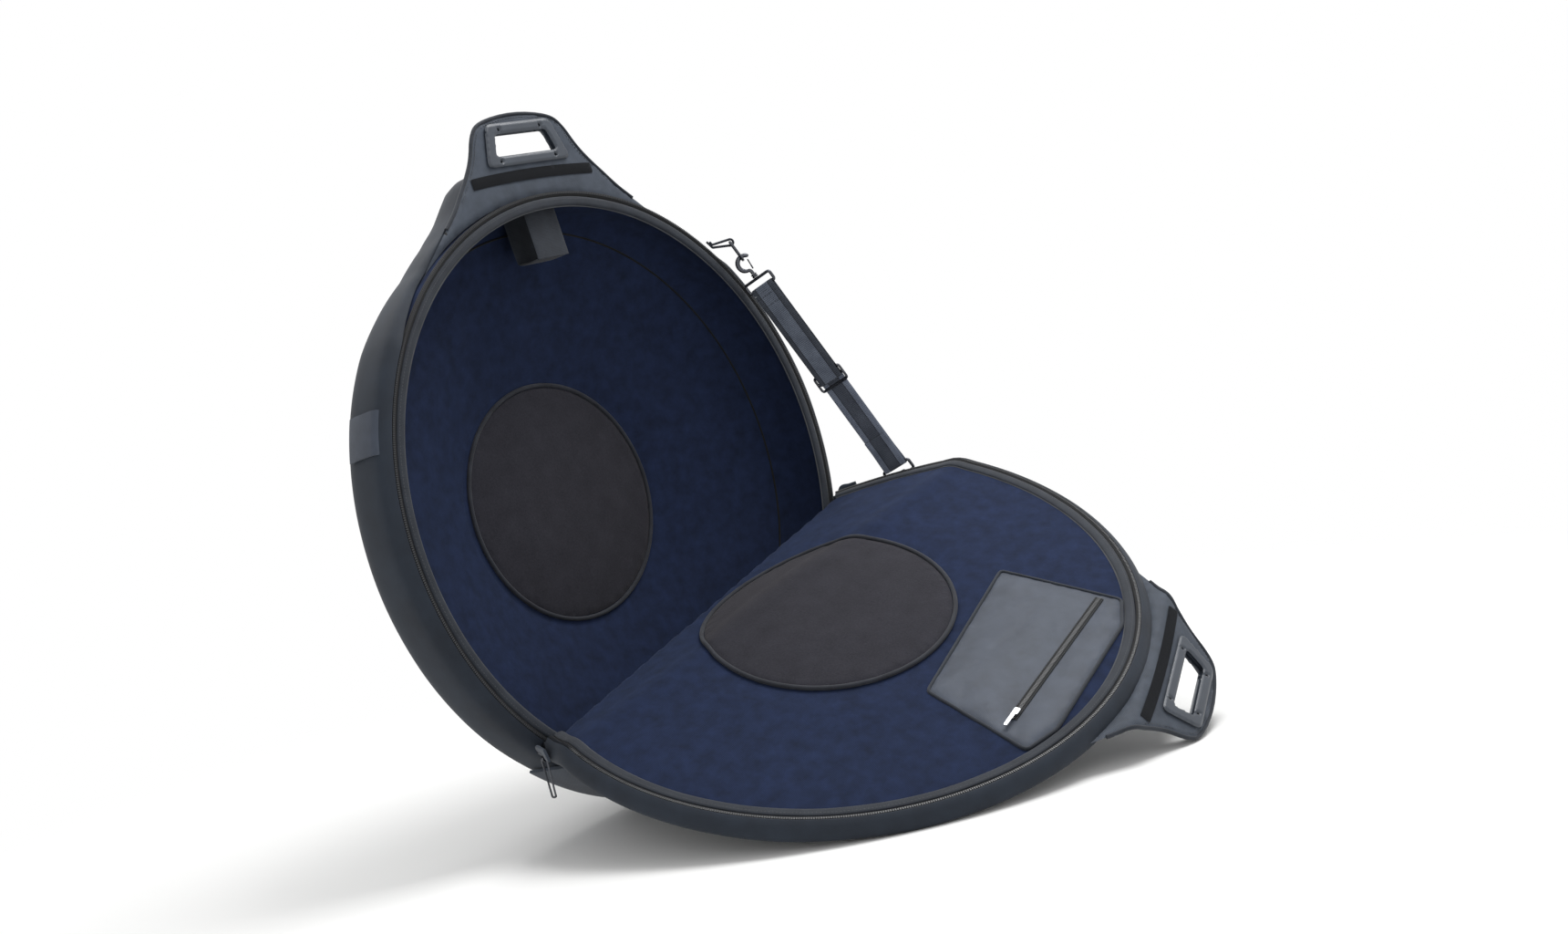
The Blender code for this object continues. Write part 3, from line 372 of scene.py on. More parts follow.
grainMm = {  # sizes of the fine patterns; fuzz and grain are coarser than the real ones
    "fuzz": 1.6, "fleecePatch": 28, "plasticGrain": 0.9, "plasticCloud": 40, "metalWear": 7,
    "webbingSeam": 0.6,
}


def newMaterial(name, roughness, metallic=0.0, sheen=0.0, sheenTint="FFFFFF"):
    material = bpy.data.materials.new(name)
    material.use_nodes = True
    shader = material.node_tree.nodes["Principled BSDF"]
    look = {
        "Roughness": roughness, "Metallic": metallic, "Sheen Weight": sheen,
        "Sheen Roughness": sheenRoughness, "Sheen Tint": hexColour(sheenTint)
    }
    for label, value in look.items():
        shader.inputs[label].default_value = value
    return material, material.node_tree, shader


def paint(tree, shader, share, dark, light):
    # the colour runs from dark to light as share goes from 0 to 1
    mixed = addNode(tree, "ShaderNodeMix", {"data_type": "RGBA"}, {0: share, 6: dark, 7: light})
    tree.links.new(mixed.outputs[2], shader.inputs["Base Color"])


def emboss(tree, shader, strength, depth, height):
    bump = addNode(tree, "ShaderNodeBump", None, {"Strength": strength, "Distance": depth, "Height": height})
    tree.links.new(bump.outputs[0], shader.inputs["Normal"])


def wovenCloth(
    name, dark, light, threadMm, weave="plain", bumpMm=0.12, roughness=0.75, sheen=0.15, sheenTint="FFFFFF",
    mottleMm=25, threadShare=0.35
):
    material, tree, shader = newMaterial(name, roughness, 0.0, sheen, sheenTint)
    shader.inputs["Specular IOR Level"].default_value = clothShine
    uv = addNode(tree, "ShaderNodeUVMap", {"uv_map": "cloth"})
    parts = addNode(tree, "ShaderNodeSeparateXYZ", None, [uv])
    turns = math.tau / (threadMm / 1000)
    x, y = (addNode(tree, sumNode, times, [way, turns]) for way in parts.outputs[:2])
    if weave == "twill":
        thread = addNode(tree, sumNode, sine, [addNode(tree, sumNode, plus, [x, y])])
    elif weave == "rib":
        thread = addNode(tree, sumNode, sine, [x])
    else:
        thread = addNode(tree, sumNode, times, [addNode(tree, sumNode, sine, [way]) for way in (x, y)])
    thread = addNode(tree, sumNode, times, [addNode(tree, sumNode, plus, [thread, 1.0]), 0.5])
    where = addNode(tree, "ShaderNodeTexCoord").outputs["Object"]
    mottle = addNode(
        tree, "ShaderNodeTexNoise", None,
        {"Vector": where, "Scale": 1000 / mottleMm, "Detail": 5.0, "Roughness": 0.6}
    )
    fuzz = addNode(
        tree, "ShaderNodeTexNoise", None, {"Vector": where, "Scale": 1000 / grainMm["fuzz"], "Detail": 2.0}
    )
    spread = addNode(tree, sumNode, minus, [mottle, wovenLook["mottleFrom"]])
    spread = addNode(tree, sumNode, times, [spread, wovenLook["mottleGain"]])
    shares = ((spread, 1 - threadShare), (thread, threadShare))
    both = addNode(tree, sumNode, plus, [addNode(tree, sumNode, times, pair) for pair in shares])
    paint(tree, shader, addNode(tree, "ShaderNodeClamp", None, [both]), hexColour(dark), hexColour(light))
    height = addNode(tree, sumNode, plus, [thread, addNode(tree, sumNode, times, [fuzz, wovenLook["fuzz"]])])
    emboss(tree, shader, wovenLook["bump"], bumpMm / 1000, height)
    return material


def fleece(name, dark, light, pileMm, roughness=0.95, sheen=0.3, sheenTint="B8B0A8"):
    material, tree, shader = newMaterial(name, roughness, 0.0, sheen, sheenTint)
    shader.inputs["Specular IOR Level"].default_value = clothShine
    where = addNode(tree, "ShaderNodeTexCoord").outputs["Object"]
    pile = addNode(
        tree, "ShaderNodeTexNoise", None,
        {"Vector": where, "Scale": 1000 / pileMm, "Detail": 6.0, "Roughness": 0.7}
    )
    broad = addNode(
        tree, "ShaderNodeTexNoise", None,
        {"Vector": where, "Scale": 1000 / grainMm["fleecePatch"], "Detail": 3.0}
    )
    shares = ((pile, fleeceLook["pile"]), (broad, fleeceLook["patch"]))
    both = addNode(tree, sumNode, plus, [addNode(tree, sumNode, times, pair) for pair in shares])
    less = addNode(tree, sumNode, minus, [both, fleeceLook["less"]])
    share = addNode(tree, "ShaderNodeClamp", None, [less])
    paint(tree, shader, share, hexColour(dark), hexColour(light))
    emboss(tree, shader, fleeceLook["bump"], fleeceLook["depth"], pile)
    return material


def bandedWebbing(name, dark, light, edgeMm, lightEdges):
    # ribbed across, with a band woven along each edge and a dark line where the band begins
    look = [webbingLook[key] for key in ("bumpMm", "roughness", "sheen")]
    material = wovenCloth(name, dark, light, webbingLook["threadMm"], "rib", *look, threadShare=0.5)
    tree = material.node_tree
    shader, parts = tree.nodes["Principled BSDF"], tree.nodes["Separate XYZ"]
    off = addNode(tree, sumNode, unsigned, [parts.outputs[1]])
    edge = addNode(tree, sumNode, over, [off, edgeMm / 1000])
    away = addNode(tree, sumNode, unsigned, [addNode(tree, sumNode, minus, [off, edgeMm / 1000])])
    seam = addNode(tree, sumNode, under, [away, grainMm["webbingSeam"] / 1000])
    band = addNode(tree, sumNode, minus, [1.0, edge]) if lightEdges else edge
    for share, strength, colour in ((band, "band", "17181B"), (seam, "seam", "101113")):
        was = shader.inputs["Base Color"].links[0].from_socket
        dyed = addNode(tree, sumNode, times, [share, webbingLook[strength]])
        paint(tree, shader, dyed, was, hexColour(colour))
    return material


def mouldedPlastic(name, dark, light, roughness):
    material, tree, shader = newMaterial(name, roughness)
    where = addNode(tree, "ShaderNodeTexCoord").outputs["Object"]
    grain = addNode(
        tree, "ShaderNodeTexNoise", None,
        {"Vector": where, "Scale": 1000 / grainMm["plasticGrain"], "Detail": 2.0}
    )
    cloud = addNode(
        tree, "ShaderNodeTexNoise", None,
        {"Vector": where, "Scale": 1000 / grainMm["plasticCloud"], "Detail": 3.0}
    )
    paint(tree, shader, cloud, hexColour(dark), hexColour(light))
    emboss(tree, shader, plasticLook["bump"], plasticLook["depth"], grain)
    return material


def castMetal(name, dark, light, roughness):
    material, tree, shader = newMaterial(name, roughness, 1.0)
    where = addNode(tree, "ShaderNodeTexCoord").outputs["Object"]
    wear = addNode(
        tree, "ShaderNodeTexNoise", None,
        {"Vector": where, "Scale": 1000 / grainMm["metalWear"], "Detail": 5.0}
    )
    paint(tree, shader, wear, hexColour(dark), hexColour(light))
    smooth, rough = (roughness + change for change in metalWear)
    rough = addNode(tree, "ShaderNodeMapRange", None, {0: wear, 3: smooth, 4: rough})
    tree.links.new(rough.outputs[0], shader.inputs["Roughness"])
    return material


materials = {  # weaves and piles are drawn coarser than the real ones, which would be too fine to show
    # nylon laminated to foam: smooth and nearly matt, with a faint knit
    "laminatedNylon": wovenCloth(
        "laminatedNylon", "171C24", "242C37", 2.2, "plain", 0.06, 0.66, 0.06, mottleMm=45, threadShare=0.25
    ),
    # brushed nylon loop: deep navy, a little paler where light rakes it
    "brushedNylon": wovenCloth(
        "brushedNylon", "0E1628", "1E2A48", 2.0, "plain", 0.2, 0.95, 0.16, "5F7398", 18, 0.35
    ),
    # polyester fleece, brushed: near-black with a soft pile
    "fleece": fleece("fleece", "17171D", "34343C", 2.4, sheen=0.12),
    # polyester bias tape, woven as twill: dark grey, matt
    "biasTape": wovenCloth("biasTape", "1C1D22", "33363D", 1.8, "twill", 0.12, 0.8, 0.1),
    # polyester grosgrain, woven in ribs: matt, a little paler than the shell
    "grosgrain": wovenCloth("grosgrain", "191D24", "2C3139", 1.8, "rib", 0.16, 0.72, 0.12),
    # zip tape, tightly woven twill: black, so that the teeth stand out
    "zipTape": wovenCloth("zipTape", "0B0C0D", "191A1C", 1.6, "twill", 0.08, 0.75, 0.05),
    # coated polyester twill: grey-blue with a diagonal grain
    "coatedTwill": wovenCloth(
        "coatedTwill", "262C35", "464E5A", 2.2, "twill", 0.16, 0.62, 0.1, mottleMm=20, threadShare=0.5
    ),
    # oxford nylon, woven plain: a square grain and a faint shine
    "oxfordNylon": wovenCloth(
        "oxfordNylon", "262B34", "464E5C", 2.0, "plain", 0.16, 0.5, 0.12, mottleMm=30, threadShare=0.5
    ),
    # nylon hook-and-loop, cut pile: black and rough, without a highlight
    "hookTape": fleece("hookTape", "08090B", "16181C", 1.4, 1.0, 0.08, "606878"),
    # polyester webbing, woven in ribs: grey, with a darker band at each edge, or with a darker middle
    "webbingDarkEdge": bandedWebbing("webbingDarkEdge", "444A56", "7C8492", 11, False),
    "webbingLightEdge": bandedWebbing("webbingLightEdge", "505766", "8A92A2", 9, True),
    # glass-filled nylon, moulded: grey and satin
    "satinNylon": mouldedPlastic("satinNylon", "2A2F37", "3D444E", 0.4),
    # acetal, moulded: dark zip teeth that catch small highlights
    "acetal": mouldedPlastic("acetal", "1D1E20", "303236", 0.35),
    # bonded polyester thread, twisted: a dull grey line
    "thread": mouldedPlastic("thread", "2A2C30", "44474C", 0.6),
    # zinc, cast and plated in gunmetal: dark, with a cloudy reflection
    "gunmetalZinc": castMetal("gunmetalZinc", "3A3B3F", "606268", 0.3),
    # steel, nickel plated: pale, with a cloudy reflection
    "nickelSteel": castMetal("nickelSteel", "8F9193", "B9BBBD", 0.28),
}


def foldEnds(name, part):
    # the two sides of a fold's soft band, which the cloth bends between
    band = folds[name]["band"]
    return openOut(transform([(0, -band, 0), (0, band, 0)], foldFrame(name)), part)


def mended(mesh, isDone=True):
    # merges doubled points; a finished piece is also rid of thin faces and turned outwards
    work = bmesh.new()
    work.from_mesh(mesh)
    bmesh.ops.remove_doubles(work, verts=work.verts, dist=tiny["merge"])
    if isDone:
        bmesh.ops.dissolve_degenerate(work, edges=work.edges, dist=tiny["flat"])
        bmesh.ops.recalc_face_normals(work, faces=work.faces)
    work.to_mesh(mesh)
    work.free()


def finishPiece(piece, part, replaced=(), body=None, sharp=45):
    # part names a part of the shut bag, or is the matrix of the strap's own axes
    mesh = piece.data
    inBag = isinstance(part, str)
    placed = openOut(coordsOf(mesh), part) if inBag else transform(coordsOf(mesh), part)
    placed[:, 2] = np.maximum(placed[:, 2], 0)  # nothing sinks into the floor
    mesh.vertices.foreach_set("co", placed.ravel())
    mended(mesh)
    mesh.update()
    mesh.shade_smooth()
    mesh.set_sharp_from_angle(angle=math.radians(sharp))
    if inBag and part in bodiesOfFold and body is None:
        first, second, fold = bodiesOfFold[part]
        start, end = foldEnds(fold, part)
        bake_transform(piece)
    else:
        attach(piece, body or bodyOfPart[part])
    if replaced:
        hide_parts(*replaced)


def repeatTree(kind):
    # repeats one small shape along each path: a rounded stitch or a zip tooth
    tree = bpy.data.node_groups.new("repeatAlong" + kind, "GeometryNodeTree")
    face = tree.interface
    face.new_socket("Path", in_out="INPUT", socket_type="NodeSocketGeometry")
    for label in ("Spacing", "Length", "Width", "Height"):
        face.new_socket(label, in_out="INPUT", socket_type="NodeSocketFloat")
    face.new_socket("Finish", in_out="INPUT", socket_type="NodeSocketMaterial")
    face.new_socket("Row", in_out="OUTPUT", socket_type="NodeSocketGeometry")
    given = addNode(tree, "NodeGroupInput").outputs
    curve = addNode(tree, "GeometryNodeMeshToCurve", None, [given["Path"]])
    level = addNode(tree, "GeometryNodeSetCurveNormal", {"mode": "Z_UP"}, [curve])
    points = addNode(
        tree, "GeometryNodeCurveToPoints", {"mode": "LENGTH"}, {"Curve": level, "Length": given["Spacing"]}
    )
    sizes = addNode(tree, "ShaderNodeCombineXYZ", None, [given["Width"], given["Height"], given["Length"]])
    if kind == "Stitch":
        shape = addNode(tree, "GeometryNodeMeshIcoSphere", None, {"Radius": 0.5, "Subdivisions": 1})
    else:
        shape = addNode(tree, "GeometryNodeMeshCube")
    copies = addNode(
        tree, "GeometryNodeInstanceOnPoints", None,
        {"Points": points, "Instance": shape, "Rotation": points.outputs["Rotation"], "Scale": sizes}
    )
    real = addNode(tree, "GeometryNodeRealizeInstances", None, [copies])
    done = addNode(tree, "GeometryNodeSetMaterial", None, {"Geometry": real, "Material": given["Finish"]})
    addNode(tree, "NodeGroupOutput", None, [done])
    return tree


repeatTrees = {kind: repeatTree(kind) for kind in ("Stitch", "Tooth")}


def rowPiece(name, paths, kind, row, material):
    # paths are (points, closed); row holds the spacing and the size along, across and up
    spacing, sizes = row
    points, edges = [], []
    for path, closed in paths:
        first, count = len(points), len(path)
        points += np.asarray(path).tolist()
        edges += [(first + k, first + k + 1) for k in range(count - 1)]
        if closed:
            edges.append((first + count - 1, first))
    mesh = bpy.data.meshes.new(name + "Path")
    mesh.from_pydata(points, edges, [])
    host = linked(name + "Path", mesh)
    modifier = host.modifiers.new("repeat", "NODES")
    modifier.node_group = repeatTrees[kind]
    sockets = repeatTrees[kind].interface.items_tree
    inputs = {item.name: item.identifier for item in sockets if item.in_out == "INPUT"}
    for label, value in zip(("Spacing", "Length", "Width", "Height", "Finish"), (spacing, *sizes, material)):
        modifier[inputs[label]] = value
    bpy.context.view_layer.update()
    made = bpy.data.meshes.new_from_object(host.evaluated_get(bpy.context.evaluated_depsgraph_get()))
    bpy.data.objects.remove(host)
    made.name = name
    if not made.materials:
        made.materials.append(material)
    return linked(name, made)


cushion = {  # the cloth of a pillow that is blown up a little
    "quality": 4, "mass": 0.25, "tension_stiffness": 12, "compression_stiffness": 12, "shear_stiffness": 4,
    "bending_stiffness": 0.4, "use_pressure": True, "vertex_group_mass": "sewn",
}
cushionFrames = 20


def inflate(piece, pressure, cap, held):
    # cloth under air pressure, held where it is sewn down; no point moves further than cap
    start = coordsOf(piece.data)
    group = piece.vertex_groups.new(name="sewn")
    group.add(np.nonzero(held)[0].tolist(), 1.0, "REPLACE")
    cloth = piece.modifiers.new("cloth", "CLOTH")
    for key, value in cushion.items():
        setattr(cloth.settings, key, value)
    cloth.settings.uniform_pressure_force = pressure
    cloth.settings.effector_weights.gravity = 0
    cloth.collision_settings.use_collision = False
    scene.frame_start, scene.frame_end = 1, cushionFrames
    for number in range(1, cushionFrames + 1):
        scene.frame_set(number)
    after = piece.evaluated_get(bpy.context.evaluated_depsgraph_get()).to_mesh()
    shift = coordsOf(after) - start
    moved = np.linalg.norm(shift, axis=1)
    shift *= (np.minimum(moved, cap) / np.maximum(moved, tiny["zero"]))[:, None]
    piece.modifiers.remove(cloth)
    scene.frame_set(1)
    piece.data.vertices.foreach_set("co", (start + shift).ravel())
    piece.vertex_groups.clear()


def refine(piece):
    smooth = piece.modifiers.new("smooth", "SUBSURF")
    smooth.levels = smooth.render_levels = 1
    bpy.context.view_layer.update()
    made = bpy.data.meshes.new_from_object(piece.evaluated_get(bpy.context.evaluated_depsgraph_get()))
    piece.modifiers.clear()
    piece.data = made


# Camera, floor and light
view = {
    "place": (-1.5926, 0.0574, 1.5561), "right": (0.597, -0.312, 0.739), "up": (0.233, 0.949, 0.212),
    "lens": 40.24, "sensor": 36, "near": 0.05, "far": 50
}
right, up = Vector(view["right"]).normalized(), Vector(view["up"])
back = right.cross(up).normalized()
up = back.cross(right)
camera = linked("camera", bpy.data.cameras.new("camera"))
camera.data.lens, camera.data.sensor_width = view["lens"], view["sensor"]
camera.data.clip_start, camera.data.clip_end = view["near"], view["far"]
turnedTo = Matrix((right, up, back)).transposed().to_4x4()
camera.matrix_world = bagMatrix @ (Matrix.Translation(view["place"]) @ turnedTo)
scene.camera = camera

room = {"floor": "F1F1F0", "matt": 0.85, "world": 0.62, "clearFrom": 0.65, "clearTo": 1.5, "half": 9}
floorMaterial, tree, shader = newMaterial("paintedFloor", room["matt"])
shader.inputs["Base Color"].default_value = hexColour(room["floor"])
where = addNode(tree, "ShaderNodeTexCoord").outputs["Object"]
reach = addNode(tree, "ShaderNodeVectorMath", {"operation": "LENGTH"}, [where]).outputs["Value"]
fade = addNode(
    tree, "ShaderNodeMapRange", {"interpolation_type": "SMOOTHSTEP"},
    [reach, room["clearFrom"], room["clearTo"]]
)
rays = addNode(tree, "ShaderNodeLightPath").outputs
white = addNode(tree, "ShaderNodeEmission", None, {"Color": (1, 1, 1, 1), "Strength": 1.0})
seen = addNode(tree, sumNode, larger, [rays["Is Camera Ray"], rays["Is Glossy Ray"]])
share = addNode(tree, sumNode, times, [fade, seen])
mixed = addNode(tree, "ShaderNodeMixShader", None, [share, shader, white])
tree.links.new(mixed.outputs[0], tree.nodes["Material Output"].inputs[0])
floorMesh = bpy.data.meshes.new("floor")
corners = [(x * room["half"], y * room["half"], 0) for x, y in ((-1, -1), (1, -1), (1, 1), (-1, 1))]
floorMesh.from_pydata(corners, [], [(0, 1, 2, 3)])
floorMesh.materials.append(floorMaterial)
linked("floor", floorMesh)

world = bpy.data.worlds.new("studio")
world.use_nodes = True
tree = world.node_tree
sky = tree.nodes["Background"]
sky.inputs["Color"].default_value = (1, 1, 1, 1)
rays = addNode(tree, "ShaderNodeLightPath").outputs
seen = addNode(tree, sumNode, larger, [rays["Is Camera Ray"], rays["Is Glossy Ray"]])
strength = addNode(tree, "ShaderNodeMapRange", None, {0: seen, 3: room["world"], 4: 1.0})
tree.links.new(strength.outputs[0], sky.inputs["Strength"])
scene.world = world

lamps = {  # place, aim, width in metres and power in watts
    "key": ((0.7, -0.6, 2.5), (0.0, -0.1, 0.2), 1.4, 50),
    "side": ((-2.2, -1.2, 1.3), (0.0, 0.0, 0.35), 1.2, 7),
    "top": ((0.1, 0.9, 2.2), (0.0, 0.1, 0.4), 1.2, 16),
}
for name, (place, aim, width, power) in lamps.items():
    lamp = linked(name, bpy.data.lights.new(name, "AREA"))
    lamp.data.size, lamp.data.energy = width, power
    lamp.location = place
    lamp.rotation_euler = (Vector(aim) - Vector(place)).to_track_quat("-Z", "Y").to_euler()
print("camera, floor and light ready")

# Side wall of the standing half: its section changes over the crown
wall = {
    "depth": 0.060, "inner": 0.3776, "backDrop": 0.0023,
    "edgeCurve": ((0.4, 0.0031), (0.8, 0.0085), (1.0, 0.016), (0.98, 0.035)),
    "shoulder": ((0.005, 0.014), (0.017, 0.025)), "seam": ((0.3503, 0.0895), (0.3478, 0.0847)),
    "innerWall": ((0.0111, 0.0800), (0.004, 0.070), (0.0, 0.058)), "crownTop": 0.416,
    "crown": (
        (15.0, 0.4264), (17.5, 0.4153), (20.1, 0.4046), (22.1, 0.3983), (26.9, 0.389), (34.7, 0.3795),
        (45.0, 0.3782), (52.0, 0.3779)
    ),
    "bulge": ((27.0, 0.001), (52.0, 0.0134)), "crownFront": 0.0163, "crownStart": 52.0, "crownFull": 39.0,
    "crownBack": ((0.0, 0.036), (15.0, 0.046), (28.0, 0.058), (40.0, 0.060)),
    "lip": 0.0005, "steps": 300, "waver": 0.0012, "waverLength": 0.09, "waverFrom": 0.3785,
    "waverOver": 0.006, "seed": 3.0,
}


def wallSection(angle):
    fromTop = abs((math.degrees(angle) - 90 + 180) % 360 - 180)
    edge = between(wall["crown"], fromTop)
    if fromTop < wall["crownStart"]:
        edge = min(edge, wall["crownTop"] / math.cos(math.radians(fromTop)))
    bulge = between(wall["bulge"], fromTop)
    intoCrown = (wall["crownStart"] - fromTop) / (wall["crownStart"] - wall["crownFull"])
    front = wall["crownFront"] * min(max(intoCrown, 0), 1)
    rear = between(wall["crownBack"], fromTop)
    depth = (rear - front) / wall["depth"]
    rearR = edge + bulge - wall["backDrop"]
    section = [(edge, front + wall["lip"])]
    section += [(edge + bulge * share, front + z * depth) for share, z in wall["edgeCurve"]]
    section += [(rearR, rear)] + [(rearR - dr, rear + dz) for dr, dz in wall["shoulder"]]
    section += list(wall["seam"]) + [(wall["inner"] - dr, z) for dr, z in wall["innerWall"]]
    section += [(wall["inner"], front + wall["lip"])]
    return cutCorners([(r, -z) for r, z in section], 2)


angles = np.arange(wall["steps"]) * math.tau / wall["steps"]
sections = np.array([[polar(r, a, z) for r, z in wallSection(a)] for a in angles])
shift = ripple(sections.reshape(-1, 3), wall["waverLength"], wall["seed"])
shift = shift.reshape(sections.shape[:2]) * wall["waver"]
shift *= np.clip((np.linalg.norm(sections[..., :2], axis=2) - wall["waverFrom"]) / wall["waverOver"], 0, 1)
pushOut(sections, angles, shift)
piece = gridPiece("sideWall", sections, materials["laminatedNylon"], wrapU=True, wrapV=True)
finishPiece(piece, "back", ("back_shell",))


def ringPath(r, z, start=0.0, stop=math.tau, steps=360):
    count = max(3, int(steps * (stop - start) / math.tau))
    closed = stop - start > math.tau - 1e-6
    return np.array([polar(r, a, z) for a in np.linspace(start, stop, count, endpoint=not closed)]), closed


# Back panel, its seam piping and its stitched rings
backPanel = {
    "outer": (
        (0.350, 0.0895), (0.30, 0.1085), (0.25, 0.1275), (0.177, 0.1535), (0.163, 0.159), (0.08, 0.1592),
        (0.0, 0.1592)
    ),
    "inner": ((0.0, 0.1538), (0.1622, 0.1538), (0.1749, 0.1486), (0.3475, 0.0847)),
    "piping": (0.3508, 0.0893), "pipingR": 0.0022,
    "rings": (0.340, 0.334), "ringFall": 0.372, "ringLift": 0.0002,
    "stitch": (0.0045, (0.0034, 0.0008, 0.0008)),
}
profile = [cutCorners([(r, -z) for r, z in backPanel[face]], 1, False) for face in ("outer", "inner")]
piece = turned("backPanel", np.vstack(profile).tolist(), materials["laminatedNylon"])
finishPiece(piece, "back", ("back_panel",))
r, z = backPanel["piping"]
path, closed = ringPath(r, -z)
piece = tubePiece("panelPiping", path, backPanel["pipingR"], materials["biasTape"], closed)
finishPiece(piece, "back")
edgeR, edgeZ = backPanel["outer"][0]
rows = []
for r in backPanel["rings"]:
    rows.append(ringPath(r, -(edgeZ + (edgeR - r) * backPanel["ringFall"] + backPanel["ringLift"])))
piece = rowPiece("panelStitches", rows, "Stitch", backPanel["stitch"], materials["thread"])
finishPiece(piece, "back")

# Linings of the standing half: one padded skin round the wall and over the panel
backLining = {
    "profile": (
        (0.3772, 0.0093), (0.3772, 0.0577), (0.3732, 0.0697), (0.3657, 0.0791), (0.3475, 0.0839),
        (0.26, 0.1162), (0.1745, 0.1478), (0.1620, 0.1533), (0.0, 0.1533), (0.0, 0.150), (0.1612, 0.150),
        (0.1730, 0.1443), (0.23, 0.1227), (0.29, 0.1001), (0.345, 0.0795), (0.359, 0.0745), (0.3665, 0.066),
        (0.370, 0.056), (0.3703, 0.035), (0.370, 0.0093)
    ),
    "steps": 300, "innerFrom": 0.47, "cornerR": 0.352, "hubR": 0.172, "hubOver": 0.03,
    "fold": 0.0016, "foldLength": 0.05, "creaseLength": 0.018, "flatten": (1, 1, 0.3),
    "cord": (0.3462, 0.0782), "cordR": 0.0013, "creaseShare": 0.5, "seeds": (7.0, 11.0),
}
profile = cutCorners([(r, -z) for r, z in backLining["profile"]], 2)
angles = np.arange(backLining["steps"]) * math.tau / backLining["steps"]
grid = revolved([(max(r, 0), z) for r, z in profile], angles)
r = np.linalg.norm(grid[..., :2], axis=2)
inner = np.arange(len(profile)) >= len(profile) * backLining["innerFrom"]
points = grid.reshape(-1, 3)
foldSeed, creaseSeed = backLining["seeds"]
flow = ripple(points * np.array(backLining["flatten"]), backLining["foldLength"], foldSeed)
flow = flow + backLining["creaseShare"] * ripple(points, backLining["creaseLength"], creaseSeed)
outOfHub = np.clip((r - backLining["hubR"]) / backLining["hubOver"], 0, 1)
flow = flow.reshape(r.shape) * backLining["fold"] * outOfHub * inner[None, :]
onWall = r >= backLining["cornerR"]
grid[..., 2] += np.where(onWall, 0, np.abs(flow))
pushOut(grid, angles, np.where(onWall, -np.abs(flow), 0))
piece = gridPiece("backLining", grid, materials["brushedNylon"], wrapU=True, wrapV=True)
finishPiece(piece, "back", ("back_lining", "back_wall_lining"))
r, z = backLining["cord"]
path, closed = ringPath(r, -z)
piece = tubePiece("liningSeamCord", path, backLining["cordR"], materials["zipTape"], closed)
finishPiece(piece, "back")
print("standing half: wall, panel and lining")

# Rim of the standing half and of the lid: padded binding, its edge cord, zip tape and coil
rim = {
    "backBinding": (
        (0.3580, 0.0050), (0.3602, 0.0013), (0.3650, 0.0006), (0.3705, 0.0008), (0.3710, 0.0050),
        (0.3700, 0.0092), (0.3625, 0.0092)
    ),
    "lidBinding": (
        (0.3580, 0.0038), (0.3602, 0.0013), (0.3650, 0.0006), (0.3705, 0.0008), (0.3710, 0.0040),
        (0.3690, 0.0058), (0.3605, 0.0058)
    ),
    "tape": ((0.3713, 0.0012), (0.3774, 0.0010), (0.3774, 0.0057), (0.3713, 0.0057)),
    "steps": 300, "wave": 0.0006, "seed": 5.0, "cord": (0.3586, 0.0047), "cordR": 0.0010,
    "stitches": (0.3672, 0.0008), "stitch": (0.0042, (0.0030, 0.0008, 0.0008)),
    "coil": (0.3755, 0.0010), "coilSteps": 720, "tooth": (0.0026, (0.0015, 0.0028, 0.0013)),
    "hingeRight": -19.25, "hingeLeft": 222.25, "clear": 1.3,
}
lidStart = math.radians(rim["hingeRight"] + rim["clear"])
lidStop = math.radians(rim["hingeLeft"] - rim["clear"])
frontStart = math.radians(rim["hingeLeft"] + rim["clear"])
frontStop = math.radians(360 + rim["hingeRight"] - rim["clear"])


def rimSet(prefix, side, part, start, stop, binding, replaced, withZip=True):
    first, last = (0.0, math.tau) if start is None else (start, stop)

    def ringAt(name, steps=360):
        r, z = rim[name]
        return ringPath(r, side * z, first, last, steps)

    profile = cutCorners([(r, side * z) for r, z in rim[binding]], 2)
    arc = (rim["steps"], start, stop)
    piece = turned(prefix + "Binding", profile, materials["grosgrain"], *arc, rim["wave"], rim["seed"])
    finishPiece(piece, part, replaced)
    path, closed = ringAt("cord")
    piece = tubePiece(prefix + "EdgeCord", path, rim["cordR"], materials["thread"], closed)
    finishPiece(piece, part)
    piece = rowPiece(prefix + "Stitches", [ringAt("stitches")], "Stitch", rim["stitch"], materials["thread"])
    finishPiece(piece, part)
    if not withZip:
        return
    profile = cutCorners([(r, side * z) for r, z in rim["tape"]], 1)
    piece = turned(prefix + "ZipTape", profile, materials["zipTape"], *arc)
    finishPiece(piece, part)
    rows = [ringAt("coil", rim["coilSteps"])]
    piece = rowPiece(prefix + "ZipCoil", rows, "Tooth", rim["tooth"], materials["acetal"])
    finishPiece(piece, part)


lidReplaced = ["lid_binding", "lid_zip_tape"]
lidReplaced += ["flap_" + strip + end for strip in ("binding", "zip_tape") for end in ("_left", "_right")]
rimSet("back", -1, "back", None, None, "backBinding", ("back_binding", "back_zip_tape"))
rimSet("lid", 1, "ridgeFold", lidStart, lidStop, "lidBinding", lidReplaced)
rimSet("front", 1, "back", frontStart, frontStop, "lidBinding", ("front_binding",), withZip=False)
print("rims, zips and stitching")

